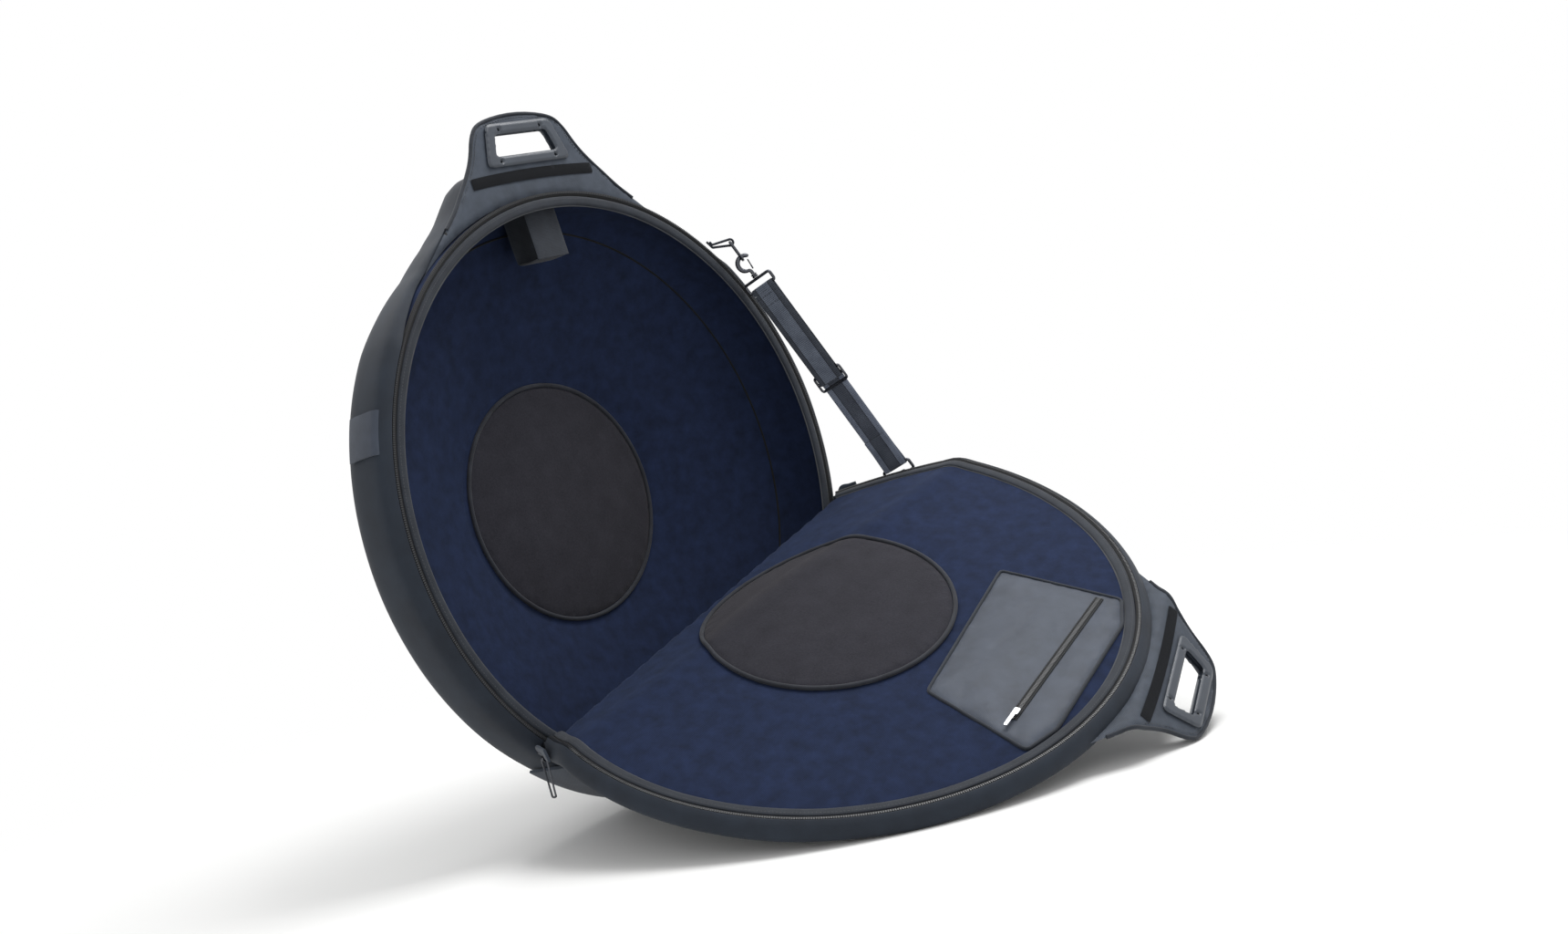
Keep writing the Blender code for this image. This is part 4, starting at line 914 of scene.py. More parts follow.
# Shell and lining of the lid, drawn shut and cut along the hinge
lidShell = {
    "outer": (
        (0.0, 0.0264), (0.10, 0.0268), (0.20, 0.0268), (0.30, 0.0266), (0.374, 0.026), (0.384, 0.025),
        (0.3897, 0.0212), (0.3908, 0.016), (0.388, 0.0095), (0.3833, 0.0034), (0.3779, 0.0005)
    ),
    "inner": ((0.3776, 0.0005), (0.3776, 0.018), (0.0, 0.018)),
    "steps": 288, "ringStep": 0.010, "gap": 0.0006, "dent": 0.0008, "dentLength": 0.07, "dentAbove": 0.0195,
    "seed": 2.0,
}


def shutLid(name, material):
    profile = cutCorners(lidShell["outer"], 1, False).tolist() + list(lidShell["inner"])
    profile = spacedProfile(profile, lidShell["ringStep"])
    grid = revolved(profile, np.arange(lidShell["steps"]) * math.tau / lidShell["steps"])
    flat = grid.reshape(-1, 3)
    outside = flat[:, 2] > lidShell["dentAbove"]
    dents = ripple(flat, lidShell["dentLength"], lidShell["seed"]) * lidShell["dent"]
    flat[:, 2] += np.where(outside, dents, 0)
    return gridPiece(name, flat.reshape(grid.shape), material, wrapU=True, wrapV=True)


def spacedProfile(profile, step):
    found = []
    for (r0, z0), (r1, z1) in zip(profile, profile[1:]):
        count = max(1, int(math.ceil(math.hypot(r1 - r0, z1 - z0) / step)))
        found += [(r0 + (r1 - r0) * k / count, z0 + (z1 - z0) * k / count) for k in range(count)]
    return found + [profile[-1]]


def trimAtHinge(piece, above, gap):
    # the cut leans outwards, so that the two sides close on each other as the lid lies open
    axes = foldFrame("hinge")
    turn = math.radians(folds["hinge"]["turn"])
    sign = 1 if above else -1
    y = axes.to_3x3() @ Vector((0, 1, 0)) * sign
    z = Vector((0, 0, 1))
    point = axes.translation + y * gap
    work = bmesh.new()
    work.from_mesh(piece.data)
    for normal in (-y, -(y * math.cos(turn / 2) - z * math.sin(turn / 2))):
        geom = list(work.verts) + list(work.edges) + list(work.faces)
        bmesh.ops.bisect_plane(
            work, geom=geom, dist=tiny["flat"], plane_co=point, plane_no=normal, clear_outer=True
        )
        bmesh.ops.holes_fill(work, edges=[e for e in work.edges if e.is_boundary], sides=0)
    bmesh.ops.triangulate(work, faces=[f for f in work.faces if len(f.verts) > 4])
    work.to_mesh(piece.data)
    work.free()


def cutLid(piece, above, gap, replaced):
    mended(piece.data, False)
    trimAtHinge(piece, above, gap)
    finishPiece(piece, "ridgeFold" if above else "back", replaced)


for name, above, replaced in (
    ("lidShell", True, ("lid_shell", "flap_shell")),
    ("frontShell", False, ("front_shell",)),
):
    cutLid(shutLid(name, materials["laminatedNylon"]), above, lidShell["gap"], replaced)

lidLining = {
    "radius": 0.3768, "low": 0.006, "high": 0.0177, "spacing": 0.0075, "softEdge": 0.010, "edgeGap": 0.0008,
    "gap": 0.0006, "swell": 0.0022, "swellOver": 0.05, "crease": 0.0016, "longCrease": 0.055,
    "shortCrease": 0.02, "hubR": 0.165, "hubOver": 0.03, "rise": 0.6, "stretch": (0.5, 1.4, 1),
    "shares": (0.7, 0.3), "seeds": (21.0, 5.0),
}


def liningOutline(above, radius, gap):
    axes = foldFrame("hinge")
    up2 = np.array(axes.to_3x3() @ Vector((0, 1, 0)))[:2]
    at = np.array(axes.translation)[:2]
    loop = np.array([polar(radius, a)[:2] for a in np.linspace(0, math.tau, 720, endpoint=False)])
    side = (loop - at) @ up2 * (1 if above else -1)
    keep = side > gap
    first = int(np.argmax(keep & ~np.roll(keep, 1)))
    return np.roll(loop, -first, 0)[:int(keep.sum())]


def liningLift(flat, away, up, down):
    puff = np.clip(away / lidLining["swellOver"], 0, 1) ** lidLining["rise"]
    spots = np.column_stack([flat, np.zeros(len(flat))])
    longSeed, shortSeed = lidLining["seeds"]
    longShare, shortShare = lidLining["shares"]
    crease = ripple(spots * np.array(lidLining["stretch"]), lidLining["longCrease"], longSeed) * longShare
    crease = crease + ripple(spots, lidLining["shortCrease"], shortSeed) * shortShare
    hub = np.clip((np.linalg.norm(flat, axis=1) - lidLining["hubR"]) / lidLining["hubOver"], 0, 1)
    down = down - (puff * lidLining["swell"] * hub + np.abs(crease) * lidLining["crease"] * puff * hub)
    return up, down


for name, above, replaced in (
    ("lidLining", True, ("lid_lining", "flap_lining")),
    ("frontLining", False, ("front_lining",)),
):
    outline = liningOutline(above, lidLining["radius"], lidLining["edgeGap"])
    sizes = [lidLining[key] for key in ("spacing", "low", "high", "softEdge")]
    piece = panelPiece(name, outline, (), *sizes, materials["brushedNylon"], liningLift)
    cutLid(piece, above, lidLining["gap"], replaced)
print("lid shell and lining")


# Hub pads: fleece pillows blown up as cloth, with a piped edge
hubPad = {
    "radius": 0.1536, "back": (-0.1497, -0.1452), "lid": (0.0012, 0.0057), "steps": 180, "spacing": 0.0062,
    "edge": 0.004, "sewnRim": 0.005, "sewnFace": 0.0004, "pipingR": 0.157, "pipingSteps": 300,
    "cord": 0.0028, "swell": 0.006, "pressure": 4,
}


def hubPadPiece(prefix, side, part, pads, pipings):
    low, high = hubPad[prefix]
    circle = [polar(hubPad["radius"], a)[:2] for a in np.arange(hubPad["steps"]) * math.tau / hubPad["steps"]]
    piece = panelPiece(
        prefix + "HubPad", circle, (), hubPad["spacing"], low, high, hubPad["edge"], materials["fleece"]
    )
    mended(piece.data, False)
    points = coordsOf(piece.data)
    sewn = (points[:, 2] - (low + high) / 2) * side < hubPad["sewnFace"]
    sewn |= np.linalg.norm(points[:, :2], axis=1) > hubPad["radius"] - hubPad["sewnRim"]
    inflate(piece, hubPad["pressure"], hubPad["swell"], sewn)
    refine(piece)
    finishPiece(piece, part, pads)
    height = (high if side < 0 else low) + side * hubPad["cord"]
    path, closed = ringPath(hubPad["pipingR"], height, steps=hubPad["pipingSteps"])
    piece = tubePiece(prefix + "PadPiping", path, hubPad["cord"], materials["biasTape"], closed)
    finishPiece(piece, part, pipings)


hubPadPiece("back", 1, "back", ("back_hub_pad",), ("back_pad_piping",))
hubPadPiece("lid", -1, "ridgeFold", ("lid_hub_pad", "flap_hub_pad"), ("lid_pad_piping", "flap_pad_piping"))
print("hub pads")

# Tabs with their handles and hook-and-loop strips
tab = {
    "depth": 0.012, "thickness": 0.004, "inner": 0.3777, "end": 38.0, "lidInner": 0.3893, "lidEnd": 25.4,
    "outline": (
        (0, 0.487), (0.062, 0.479), (0.079, 0.464), (0.093, 0.434), (0.110, 0.412), (0.125, 0.396),
        (0.139, 0.380), (0.150, 0.369), (0.176, 0.347), (0.216, 0.312)
    ),
    "lidOutline": (
        (0, 0.487), (0.062, 0.479), (0.079, 0.464), (0.093, 0.434), (0.110, 0.412), (0.1266, 0.3942),
        (0.139, 0.380), (0.150, 0.369)
    ),
    "gripTop": (0.0445, 0.4605), "gripLow": (0.053, 0.4325), "gripCorner": 0.005,
    "frameTop": (0.056, 0.4745), "frameLow": (0.073, 0.4195), "frameCorner": 0.010, "frame": 0.0045,
    "frameEdge": 0.0016, "sleeve": 0.0022,
    "stripHalf": 0.106, "stripY": 0.4065, "stripSag": 0.004, "stripHigh": 0.014, "strip": 0.0016,
    "stitchIn": 0.005,
    "vents": ((0.0476, 0.426), (0.036, 0.466)), "vent": 0.0017, "fit": 0.0003, "bind": 0.0024,
    "bindFlat": 1.15, "bindFrom": 0.352,
    "hem": 0.0026, "spacing": 0.0055, "edge": 0.0018, "wave": 0.0006, "waveLength": 0.05, "seed": 4.0,
    "stitch": (0.0046, (0.0034, 0.0009, 0.0009)),
    "stitchLift": 0.0001, "stitchFrom": {"back": 0.385, "lid": 0.404}, "pathStep": 0.004, "stitchStep": 0.003,
    "stripSpacing": 0.0045, "stripEdge": 0.0005, "frameSpacing": 0.0024, "sleeveGap": 0.0004,
    "sleeveReach": 0.004,
}


def roundCorners(corners, radius, steps=5):
    found, n = [], len(corners)
    for k in range(n):
        here, before, after = (Vector(corners[(k + d) % n]) for d in (0, -1, 1))
        start, end = here + (before - here).normalized() * radius, here + (after - here).normalized() * radius
        for t in np.linspace(0, 1, steps):
            found.append((start * (1 - t) ** 2 + here * 2 * t * (1 - t) + end * t * t)[:])
    return found


def trapezoid(top, low, corner, grow=0.0):
    (tx, ty), (lx, ly) = top, low
    tx, ty, lx, ly = tx + grow, ty + grow, lx + grow, ly - grow
    return roundCorners([(-tx, ty), (tx, ty), (lx, ly), (-lx, ly)], corner)


def gripHole(grow=0.0):
    return trapezoid(tab["gripTop"], tab["gripLow"], tab["gripCorner"], grow)


def tabLoop(outline, inner, end):
    sides = [(-x, y) for x, y in outline if x > 0][::-1] + list(outline)
    sides = cutCorners(sides, 2, False).tolist()
    angles = np.linspace(math.radians(end), -math.radians(end), 60)
    arc = [(inner * math.sin(a), inner * math.cos(a)) for a in angles]
    return sides + arc, sides


def tabSet(prefix, side, part, endPart, outline, inner, end, replaced):
    # side is 1 where the tab lies behind the mouth, and -1 on the lid
    def span(near, far):
        return sorted((-side * (tab["depth"] + near), -side * (tab["depth"] + far)))

    low, high = span(0, tab["thickness"])
    loop, sides = tabLoop(outline, inner, end)
    window = gripHole(tab["hem"])

    def soften(flat, away, up, down):
        spots = np.column_stack([flat, np.zeros(len(flat))])
        wave = ripple(spots, tab["waveLength"], tab["seed"]) * tab["wave"]
        return up + wave, down + wave

    sizes = (tab["spacing"], low, high, tab["edge"])
    piece = panelPiece(prefix + "Tab", loop, (window,), *sizes, materials["coatedTwill"], soften)
    finishPiece(piece, part, replaced)
    edge = spaced([p for p in sides if p[1] > tab["bindFrom"]], tab["pathStep"])
    path = np.column_stack([edge, np.full(len(edge), (low + high) / 2)])
    piece = tubePiece(prefix + "TabBinding", path, tab["bind"], materials["grosgrain"], flat=tab["bindFlat"])
    finishPiece(piece, part)

    path = spaced(sides, tab["stitchStep"])
    along = np.gradient(path, axis=0)
    along /= np.linalg.norm(along, axis=1)[:, None]
    inset = path + np.stack([along[:, 1], -along[:, 0]], 1) * tab["stitchIn"]
    inset = inset[inset[:, 1] > tab["stitchFrom"][prefix]]
    faces = (low - tab["stitchLift"], high + tab["stitchLift"])
    rows = [(np.column_stack([inset, np.full(len(inset), z)]), False) for z in faces]
    piece = rowPiece(prefix + "TabStitches", rows, "Stitch", tab["stitch"], materials["thread"])
    finishPiece(piece, endPart)

    xs = np.linspace(-tab["stripHalf"], tab["stripHalf"], 40)
    middle = tab["stripY"] - tab["stripSag"] * (xs / tab["stripHalf"]) ** 2
    strip = [(x, y - tab["stripHigh"] / 2) for x, y in zip(xs, middle)]
    strip += [(x, y + tab["stripHigh"] / 2) for x, y in zip(xs[::-1], middle[::-1])]
    inFront = -side * (tab["depth"] - tab["fit"])
    behind = -side * (tab["depth"] + tab["thickness"] + tab["fit"])
    low, high = sorted((inFront, -side * (tab["depth"] - tab["fit"] - tab["strip"])))
    sizes = (tab["stripSpacing"], low, high, tab["stripEdge"])
    piece = panelPiece(prefix + "HookStrip", strip, (), *sizes, materials["hookTape"])
    finishPiece(piece, endPart, (prefix + "_tab_strip",))

    frameLoop = trapezoid(tab["frameTop"], tab["frameLow"], tab["frameCorner"])
    half = tab["vent"]
    vents = [
        [(s * x + dx * half, y + dy * half) for dx, dy in ((-1, -1), (1, -1), (1, 1), (-1, 1))]
        for x, y in tab["vents"] for s in (-1, 1)
    ]
    for place, near, way in (("front", inFront, side), ("rear", behind, -side)):
        low, high = sorted((near, near + way * tab["frame"]))
        sizes = (tab["frameSpacing"], low, high, tab["frameEdge"])
        name = prefix + "Handle" + place.title()
        piece = panelPiece(name, frameLoop, (gripHole(), *vents), *sizes, materials["satinNylon"])
        finishPiece(piece, endPart, (prefix + "_handle_" + place,), sharp=60)
    low, high = span(-tab["sleeveReach"], tab["thickness"] + tab["sleeveReach"])
    sleeve, inner = gripHole(tab["sleeve"]), gripHole(tab["sleeveGap"])
    sizes = (tab["frameSpacing"], low, high, tab["sleeveGap"])
    piece = panelPiece(prefix + "HandleSleeve", sleeve, (inner,), *sizes, materials["satinNylon"])
    finishPiece(piece, endPart)


tabSet("back", 1, "back", "back", tab["outline"], tab["inner"], tab["end"], ("back_tab",))
tabSet(
    "lid", -1, "droopFold", "tab", tab["lidOutline"], tab["lidInner"], tab["lidEnd"],
    ("lid_tab", "lid_tab_root")
)
print("tabs and handles")

# Wheel strap, side band and base patch
wheelStrap = {
    "half": 0.0275, "thickness": 0.002, "tailStep": 0.003, "flapStep": 0.004,
    "flap": ((0.3685, -0.0225), (0.300, -0.0225)),
    "tail": ((0.3662, -0.062), (0.306, -0.062), (0.301, -0.057), (0.301, -0.0251)),
}
path = cutCorners([(0, y, z) for y, z in wheelStrap["tail"]], 2, False)
sizes = (wheelStrap["half"], wheelStrap["thickness"], materials["grosgrain"])
piece = ribbonPiece("wheelStrapTail", path, (1, 0, 0), *sizes, wheelStrap["tailStep"])
finishPiece(piece, "back", ("wheel_strap_tail",))
path = [(0, y, z) for y, z in wheelStrap["flap"]]
piece = ribbonPiece("wheelStrapFlap", path, (1, 0, 0), *sizes, wheelStrap["flapStep"])
finishPiece(piece, "back", ("wheel_strap_flap",), body="wheel_strap")

sideBand = {
    "angle": (154.2, 161.8), "steps": 720,
    "outer": ((0.3872, 0.0085), (0.3922, 0.0120), (0.3940, 0.0190), (0.3940, 0.0480), (0.3922, 0.0615)),
    "inner": ((0.3898, 0.0610), (0.3916, 0.0480), (0.3916, 0.0190), (0.3900, 0.0135), (0.3856, 0.0100)),
}
start, stop = (math.radians(a) for a in sideBand["angle"])
profile = [(r, -z) for r, z in sideBand["outer"] + sideBand["inner"]]
piece = turned("sideBand", profile, materials["oxfordNylon"], sideBand["steps"], start, stop)
finishPiece(piece, "back", ("side_band",))

basePatch = {
    "angle": (226.0, 315.0), "inner": 0.3918, "outer": 0.3958, "rear": 0.058, "front": 0.023,
    "round": (0.001, 0.002), "step": 0.006, "steps": 400
}
dr, dz = basePatch["round"]
inner, outer, rear, front = (basePatch[key] for key in ("inner", "outer", "rear", "front"))
profile = [
    (inner, -rear), (outer - dr, -rear), (outer, -rear + dz), (outer, front - dz), (outer - dr, front),
    (inner, front)
]
start, stop = (math.radians(a) for a in basePatch["angle"])
profile = spacedProfile(profile, basePatch["step"])
piece = turned("basePatch", profile, materials["coatedTwill"], basePatch["steps"], start, stop)
finishPiece(piece, "back", ("base_patch",))

# Hinge: a cloth web behind the fold and a soft gusset at each end of it
hinge = {
    "webHalf": 0.012, "webZ": 0.0180, "webEnd": 0.3375, "web": 0.0012, "webSteps": (120, 14),
    "webWave": 0.0006, "waves": 190,
    "gussetR": 0.3934, "gussetHalf": 0.0085, "gussetReach": 0.020, "gussetZ": 0.0085, "gusset": 0.0032,
    "gussetSteps": 24, "gussetStep": 0.0022,
}
axesNow = foldFrame("hinge")
long, wide = hinge["webSteps"]
xs = np.linspace(-hinge["webEnd"], hinge["webEnd"], long)
ys = np.linspace(-hinge["webHalf"], hinge["webHalf"], wide)
ring = [(y, hinge["webZ"]) for y in ys] + [(y, hinge["webZ"] - hinge["web"]) for y in ys[::-1]]
grid = np.array([[(x, y, z) for y, z in ring] for x in xs])
middle = 1 - (grid[..., 1] / hinge["webHalf"]) ** 2
grid[..., 2] += hinge["webWave"] * np.sin(grid[..., 0] * hinge["waves"]) * middle
grid = transform(grid.reshape(-1, 3), axesNow).reshape(grid.shape)
piece = gridPiece("hingeWeb", grid, materials["coatedTwill"], wrapV=True, caps=True)
finishPiece(piece, "hingeFold")
for label, side in (("Left", -1), ("Right", 1)):
    ys = np.linspace(-hinge["gussetReach"], hinge["gussetReach"], hinge["gussetSteps"])
    xs = [side * math.sqrt(hinge["gussetR"] ** 2 - (folds["hinge"]["offset"] - y) ** 2) for y in ys]
    path = transform([(x, y, hinge["gussetZ"] - liningFace) for x, y in zip(xs, ys)], axesNow)
    sizes = (hinge["gussetHalf"], hinge["gusset"], materials["coatedTwill"], hinge["gussetStep"])
    piece = ribbonPiece("hingeGusset" + label, path, (0, 0, 1), *sizes)
    finishPiece(piece, "hingeFold")
print("straps, patch and hinge cloth")

# Pocket in the lid
pocket = {
    "outline": (
        (0.120, 0.189), (0.091, 0.344), (0.040, 0.3535), (-0.162, 0.317), (-0.2035, 0.292), (-0.130, 0.162)
    ),
    "corner": 0.006, "low": 0.0015, "high": 0.0056, "spacing": 0.0065, "edge": 0.002,
    "swell": 0.0035, "pressure": 3, "sewnAbove": 0.0036, "sewnEdge": 0.004, "sewnZip": 0.009,
    "crease": 0.0065, "creaseAlong": (0.93, 0.36), "creaseAcross": (-0.36, 0.93), "longCrease": 0.05,
    "shortCrease": 0.019, "fade": 0.02, "stretch": (0.45, 1.3), "shortShare": 0.4, "zipClear": 0.4,
    "seeds": (9.0, 3.0), "bind": 0.0021, "bindZ": 0.0030, "bindFlat": 1.1, "pathStep": 0.004,
    "zip": ((0.085, 0.3185), (-0.158, 0.2665)), "zipHalf": 0.0055, "zipZ": 0.0007, "zipTape": 0.0010,
    "coilZ": 0.0005, "tooth": (0.0022, (0.0012, 0.0044, 0.0010)),
    "stitchAt": 0.0046, "stitchZ": 0.0006, "stitch": (0.0040, (0.0029, 0.0007, 0.0007)),
}


def pocketCreases(flat, away, up, down):
    along = flat @ pocket["creaseAlong"] * pocket["stretch"][0]
    across = flat @ pocket["creaseAcross"] * pocket["stretch"][1]
    slant = np.column_stack([along, across, np.zeros(len(flat))])
    longSeed, shortSeed = pocket["seeds"]
    fold = np.abs(ripple(slant, pocket["longCrease"], longSeed))
    fold = fold + pocket["shortShare"] * np.abs(ripple(slant, pocket["shortCrease"], shortSeed))
    clear = np.clip(toEdge(flat, [np.array(pocket["zip"])]) / pocket["fade"] - pocket["zipClear"], 0, 1)
    return up, down - fold * pocket["crease"] * np.clip(away / pocket["fade"], 0, 1) * clear


outline = roundCorners(pocket["outline"], pocket["corner"], 4)
sizes = [pocket[key] for key in ("spacing", "low", "high", "edge")]
piece = panelPiece("lidPocket", outline, (), *sizes, materials["oxfordNylon"], pocketCreases)
mended(piece.data, False)
points = coordsOf(piece.data)
away = toEdge(points[:, :2], [np.array(pocket["outline"])])
byZip = toEdge(points[:, :2], [np.array(pocket["zip"])])
sewn = (points[:, 2] > pocket["sewnAbove"]) | (away < pocket["sewnEdge"]) | (byZip < pocket["sewnZip"])
inflate(piece, pocket["pressure"], pocket["swell"], sewn)
refine(piece)
finishPiece(piece, "lid", ("lid_pocket",))
edge = np.array(spaced(roundCorners(pocket["outline"], pocket["corner"], 6), pocket["pathStep"], True))
path = np.column_stack([edge, np.full(len(edge), pocket["bindZ"])])
piece = tubePiece(
    "pocketBinding", path, pocket["bind"], materials["grosgrain"], True, flat=pocket["bindFlat"]
)
finishPiece(piece, "lid")
start, end = (Vector((x, y, pocket["zipZ"])) for x, y in pocket["zip"])
along = (end - start).normalized()
across = Vector((-along.y, along.x, 0))
sizes = (pocket["zipHalf"], pocket["zipTape"], materials["zipTape"], pocket["pathStep"])
piece = ribbonPiece("pocketZipTape", [start, end], across, *sizes)
finishPiece(piece, "lid", ("pocket_zip",))


def zipRow(sideways, lower):
    shiftBy = across * sideways + Vector((0, 0, -lower))
    return spaced([start + shiftBy, end + shiftBy], pocket["pathStep"]), False


piece = rowPiece("pocketZipCoil", [zipRow(0, pocket["coilZ"])], "Tooth", pocket["tooth"], materials["acetal"])
finishPiece(piece, "lid")
rows = [zipRow(sign * pocket["stitchAt"], pocket["stitchZ"]) for sign in (-1, 1)]
piece = rowPiece("pocketStitches", rows, "Stitch", pocket["stitch"], materials["thread"])
finishPiece(piece, "lid")
print("pocket")

# Shoulder strap: each half is drawn in its own axes, X along the webbing and Z out of its face
strap = {
    # places on the rim as radius, angle and height: metres, degrees, metres
    "upper": (0.400, 41.5, 0.014), "lower": (0.3985, -4.0, 0.013), "tilt": 45.0,
    "webHalf": 0.0185, "web": 0.0015, "fit": 0.0003, "webStep": 0.0014, "sewn": 0.006, "settle": 0.030,
    "returned": 0.050, "lead": 0.002,
    "stitchAt": (0.012, 0.026), "stitchHalf": 0.015, "stitchZ": 0.0042, "stitchFall": 0.02,
    "stitchStep": 0.003, "stitch": (0.0036, (0.0028, 0.0009, 0.0009)),
}
glide = {  # the three-bar slider
    "at": 0.236, "thick": 0.0036, "half": 0.024, "length": 0.027, "corner": 0.006, "bar": 0.0018,
    "slot": 0.0075, "slotHalf": 0.0202, "slotCorner": 0.0015, "spacing": 0.0012, "edge": 0.0014,
}
wire = {
    "loopNear": 0.0620, "loopFar": 0.0765, "loopHalf": 0.0220, "loopCorner": 0.0035, "loopR": 0.0022,
    "lowLoop": 0.016,
    "loopStep": 0.0015, "ringR": 0.0021, "ringHalf": 0.0155, "ringSide": 0.012, "ringLong": 0.030,
    "ringStep": 0.0016,
}


def axesAt(origin, xAxis, yAxis):
    xAxis = xAxis.normalized()
    yAxis = (yAxis - xAxis * yAxis.dot(xAxis)).normalized()
    return Matrix.Translation(origin) @ Matrix((xAxis, yAxis, xAxis.cross(yAxis))).transposed().to_4x4()


def rimPoint(place):
    r, angle, z = place
    return polar(r, math.radians(angle), z)


def opened(direction, part):
    both = openOut([(0, 0, 0), direction], part)
    return Vector(both[1] - both[0])


upperAt = Vector(openOut([rimPoint(strap["upper"])], "back")[0])
lowerAt = Vector(openOut([rimPoint(strap["lower"])], "flap")[0])
lowAngle, upAngle = math.radians(strap["lower"][1]), math.radians(strap["upper"][1])
tilt = math.radians(strap["tilt"])
outwardLow = opened(polar(1, lowAngle), "flap")
outward = opened(polar(math.cos(tilt), upAngle, math.sin(tilt)), "back")
along, strapLong = (lowerAt - upperAt).normalized(), (lowerAt - upperAt).length
across = outwardLow.cross(-along).normalized()
bar = outward.cross(along).normalized()
upperAxes, ringAxes = axesAt(upperAt, along, across), axesAt(upperAt, along, bar)
glideAxes, lowerAxes = axesAt(upperAt + along * glide["at"], along, across), axesAt(lowerAt, -along, across)
upperEye = axesAt(upperAt, bar.cross(outward), bar)
lowerEye = axesAt(lowerAt, across.cross(outwardLow), across)

# from the middle of the webbing to a wire's centre, to the slider's middle and to the strap's axis
wrap = wire["loopR"] + strap["fit"] + strap["web"] / 2
face = glide["thick"] / 2 + strap["fit"] + strap["web"] / 2
flat = strap["web"] / 2 + strap["fit"]
far, glideAt, low = wire["loopFar"], glide["at"], wire["lowLoop"]
sewn, settle, fit = strap["sewn"], strap["settle"], strap["fit"]


def bend(centre, start, sweep, steps=16):
    angles = np.radians(np.linspace(start, start + sweep, steps))
    return [(centre + wrap * math.cos(a), 0, wrap * math.sin(a)) for a in angles]


def sewWebbing(name, path, half, thick, finish, step, axesNow, body, node, held):
    piece = ribbonPiece(name, path, (0, 1, 0), half, thick, materials[finish], step)
    finishPiece(piece, axesNow, (node,), body=body)


edge = glideAt + glide["bar"]
webs = {  # the front stretch ends in a turn round the slider's bar, and the lower one in a sewn return
    "strapBack": (upperAxes, "upper_strap", "strap_back", "webbingDarkEdge", [
        (glideAt, 0, -face), (far + settle, 0, -face), *bend(far, -90, -180), (far + sewn, 0, wrap),
    ]),
    "strapFront": (upperAxes, "upper_strap", "strap_front", "webbingDarkEdge", [
        (far + sewn + fit, 0, wrap), (far + settle, 0, face), (glideAt - strap["lead"], 0, face),
        (edge - fit, 0, face),
        (edge + flat * 0.9, 0, face - flat * 0.4), (edge + flat * 1.1, 0, face - flat * 1.4),
        (edge + flat * 1.1, 0, 0),
    ]),
    "strapLower": (lowerAxes, "lower_strap", "strap_lower", "webbingLightEdge", [
        (strapLong - glideAt - fit, 0, face), (low + settle, 0, flat), *bend(low, 90, 180),
        (low + sewn, 0, -wrap),
        (low + settle, 0, -flat), (low + strap["returned"], 0, -flat),
    ]),
}
for name, (axesNow, body, node, finish, path) in webs.items():
    sizes = (strap["webHalf"], strap["web"], finish, strap["webStep"])
    sewWebbing(name, path, *sizes, axesNow, body, node, "stretched")
rows = []
for x in strap["stitchAt"]:
    z = strap["stitchZ"] - (x - strap["stitchAt"][0]) * strap["stitchFall"]
    ends = [(far + x, y, z) for y in (-strap["stitchHalf"], strap["stitchHalf"])]
    rows.append((spaced(ends, strap["stitchStep"]), False))
piece = rowPiece("strapStitches", rows, "Stitch", strap["stitch"], materials["thread"])
finishPiece(piece, upperAxes, body="upper_strap")

eye = {
    "r": 0.0044, "half": 0.0075, "tail": 0.024, "thickness": 0.0032, "upperDrop": 0.0236, "lowerDrop": 0.0069,
    "neck": 0.0125,
    "round": (-60, 150, 18), "step": 0.0012, "under": 0.0016, "over": 0.0042, "stagger": 0.003,
}
for end, axesNow, body in (("upper", upperEye, "back"), ("lower", lowerEye, "lid_flap")):
    drop = eye[end + "Drop"]
    neck = eye["neck"] * min(1, drop / eye["upperDrop"])
    inner, outer = -drop + eye["under"], -drop + eye["over"]
    path = [(-eye["tail"], 0, inner), (-neck, 0, inner)]
    angles = np.radians(np.linspace(*eye["round"]))
    path += [(eye["r"] * math.cos(a), 0, eye["r"] * math.sin(a)) for a in angles]
    path += [(-neck - eye["stagger"], 0, outer), (-eye["tail"] + eye["stagger"], 0, outer)]
    sizes = (eye["half"], eye["thickness"], "grosgrain", eye["step"])
    sewWebbing(end + "RingTape", path, *sizes, axesNow, body, end + "_ring_tape", "folded")


# Metal of the strap: bent wire, cast hook, post and slider
def rectangle(near, far, half):
    return [(near, -half), (far, -half), (far, half), (near, half)]


def wireLoop(near, far):
    loop = roundCorners(rectangle(near, far, wire["loopHalf"]), wire["loopCorner"], 6)
    return spaced([(x, y, 0) for x, y in loop], wire["loopStep"], True)


bow = [(0, y, 0) for y in np.linspace(-wire["ringHalf"], wire["ringHalf"], 12)]
reach = wire["ringLong"] - wire["ringSide"]
for a in np.linspace(math.pi / 2, -math.pi / 2, 28):
    bow.append((wire["ringSide"] + reach * math.cos(a), wire["ringHalf"] * math.sin(a), 0))
wires = {
    "upperRing": (ringAxes, "upper_strap", "upper_ring", spaced(bow, wire["ringStep"], True), wire["ringR"]),
    "strapLoop": (upperAxes, "upper_strap", "strap_loop", wireLoop(wire["loopNear"], far), wire["loopR"]),
    "lowerRing": (lowerAxes, "lower_strap", "lower_ring", wireLoop(0, low), wire["loopR"]),
}
for name, (axesNow, body, node, path, radius) in wires.items():
    piece = tubePiece(name, path, radius, materials["gunmetalZinc"], True)
    finishPiece(piece, axesNow, (node,), body=body)

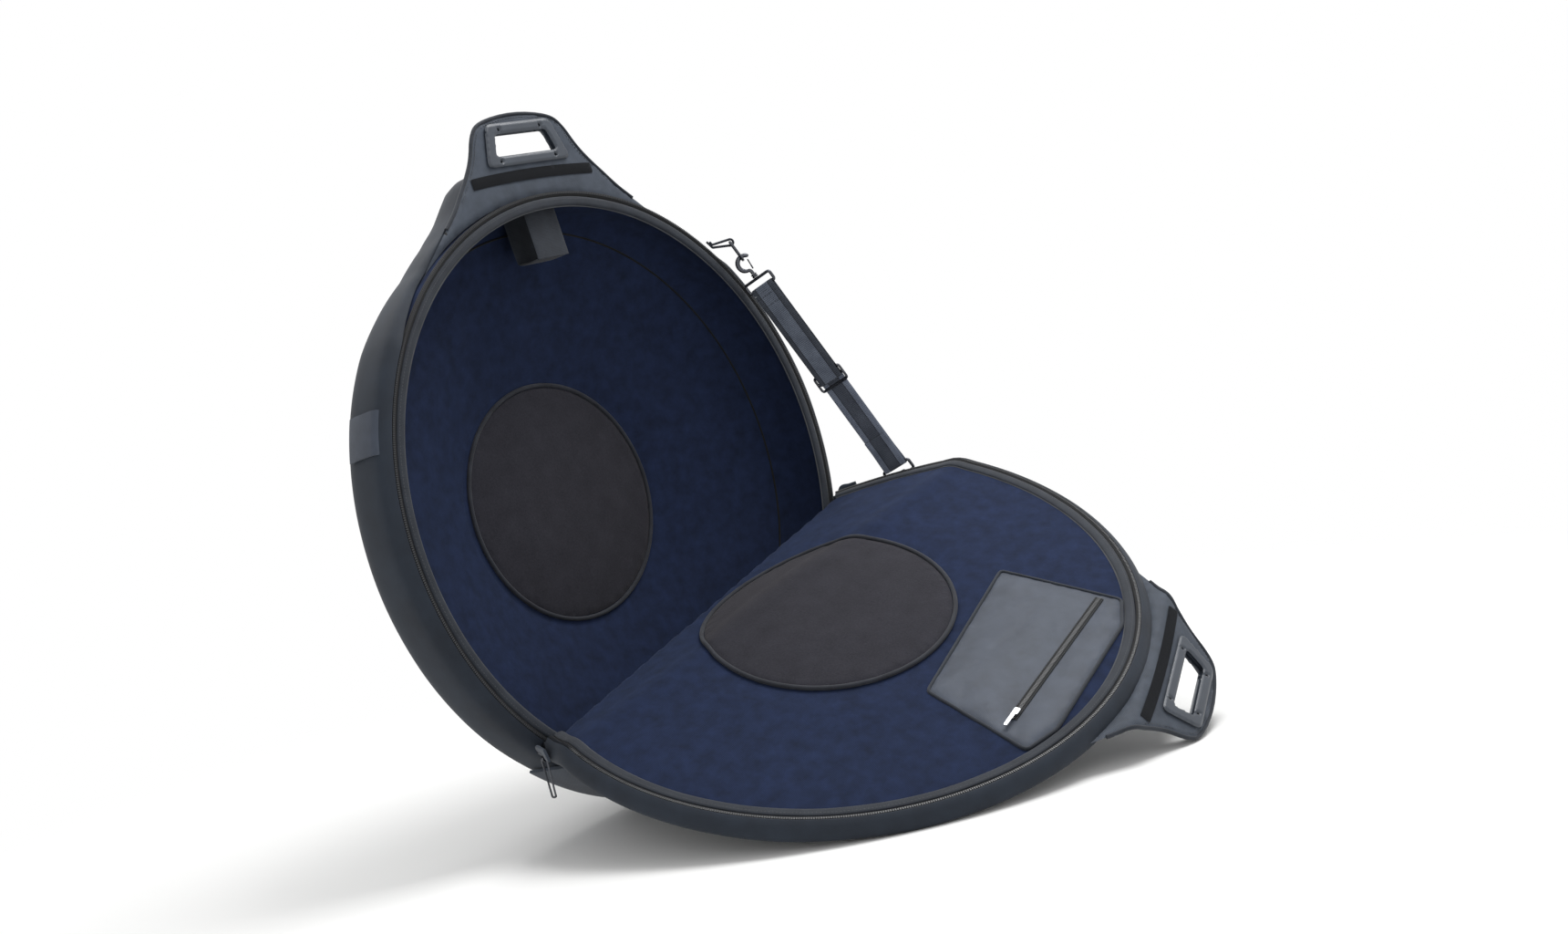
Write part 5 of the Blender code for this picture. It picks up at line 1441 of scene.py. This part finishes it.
hook = {  # thick holds radii at shares of the way from the stem to the tip
    "at": 0.0358, "r": 0.011, "stem": (0.0535, 0.0515, 0.0495), "from": 7, "sweep": 230.0, "steps": 40,
    "flat": 0.85, "shares": (0, 0.1, 0.25, 0.6, 0.93, 1),
    "thick": (0.0027, 0.0023, 0.0031, 0.0034, 0.0029, 0.0016),
}
turns = -np.radians(np.linspace(hook["from"], hook["from"] + hook["sweep"], hook["steps"]))
path = [(x, 0, 0) for x in hook["stem"]]
path += [(hook["at"] + hook["r"] * math.cos(a), 0, hook["r"] * math.sin(a)) for a in turns]
path = cutCorners(path, 1, False)
thick = np.interp(np.linspace(0, 1, len(path)), hook["shares"], hook["thick"])
piece = tubePiece("snapHook", path, thick, materials["gunmetalZinc"], up=(0, 1, 0), flat=hook["flat"])
finishPiece(piece, ringAxes, ("snap_hook",), body="strap_hook")

gate = {  # the hook's lever
    "from": (0.0478, 0.0032), "to": (0.0325, 0.0046), "lift": 0.0011, "half": 0.0024, "steps": 16,
    "flat": 0.5, "shares": (0, 0.1, 0.5, 0.9, 1), "thick": (0.7, 1, 0.75, 0.9, 0.6),
}
(gx, gz), (hx, hz) = gate["from"], gate["to"]
ts = np.linspace(0, 1, gate["steps"])
path = np.array([(gx + (hx - gx) * t, 0, gz + (hz - gz) * t + gate["lift"]) for t in ts])
thick = gate["half"] * np.interp(ts, gate["shares"], gate["thick"])
piece = tubePiece("hookGate", path, thick, materials["gunmetalZinc"], flat=gate["flat"])
finishPiece(piece, ringAxes, ("hook_gate",), body="strap_hook_gate")

post = {  # place along the strap and radius: two collars on a thinner pin
    "outline": (
        (0.0538, 0.0030), (0.0541, 0.0043), (0.0560, 0.0043), (0.0563, 0.0034),
        (0.0570, 0.0034), (0.0573, 0.0043), (0.0592, 0.0043), (0.0595, 0.0030),
    ),
    "sides": 24,
}
path, radii = [(x, 0, 0) for x, r in post["outline"]], [r for x, r in post["outline"]]
piece = tubePiece("swivelPost", path, radii, materials["gunmetalZinc"], sides=post["sides"])
finishPiece(piece, upperAxes, ("swivel_post",), body="upper_strap")

long = glide["length"] / 2
loop = roundCorners(rectangle(-long, long, glide["half"]), glide["corner"], 7)
slots = []
for sign in (-1, 1):
    near, out = sorted((sign * glide["bar"], sign * (glide["bar"] + glide["slot"])))
    slots.append(roundCorners(rectangle(near, out, glide["slotHalf"]), glide["slotCorner"], 4))
sizes = (glide["spacing"], -glide["thick"] / 2, glide["thick"] / 2, glide["edge"])
piece = panelPiece("threeBarSlider", loop, slots, *sizes, materials["gunmetalZinc"])
finishPiece(piece, glideAxes, ("three_bar_slider",), body="strap_adjuster", sharp=60)
print("shoulder strap")

# The small hard parts keep the shapes they were packed with
hardFinish = {
    "gunmetalZinc": ("zip_slider", "zip_slider_lug", "zip_pull"),
    "nickelSteel": ("pocket_slider", "pocket_pull"),
}
for finish, names in hardFinish.items():
    for name in names:
        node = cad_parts[name]
        node.data.materials.clear()
        node.data.materials.append(materials[finish])
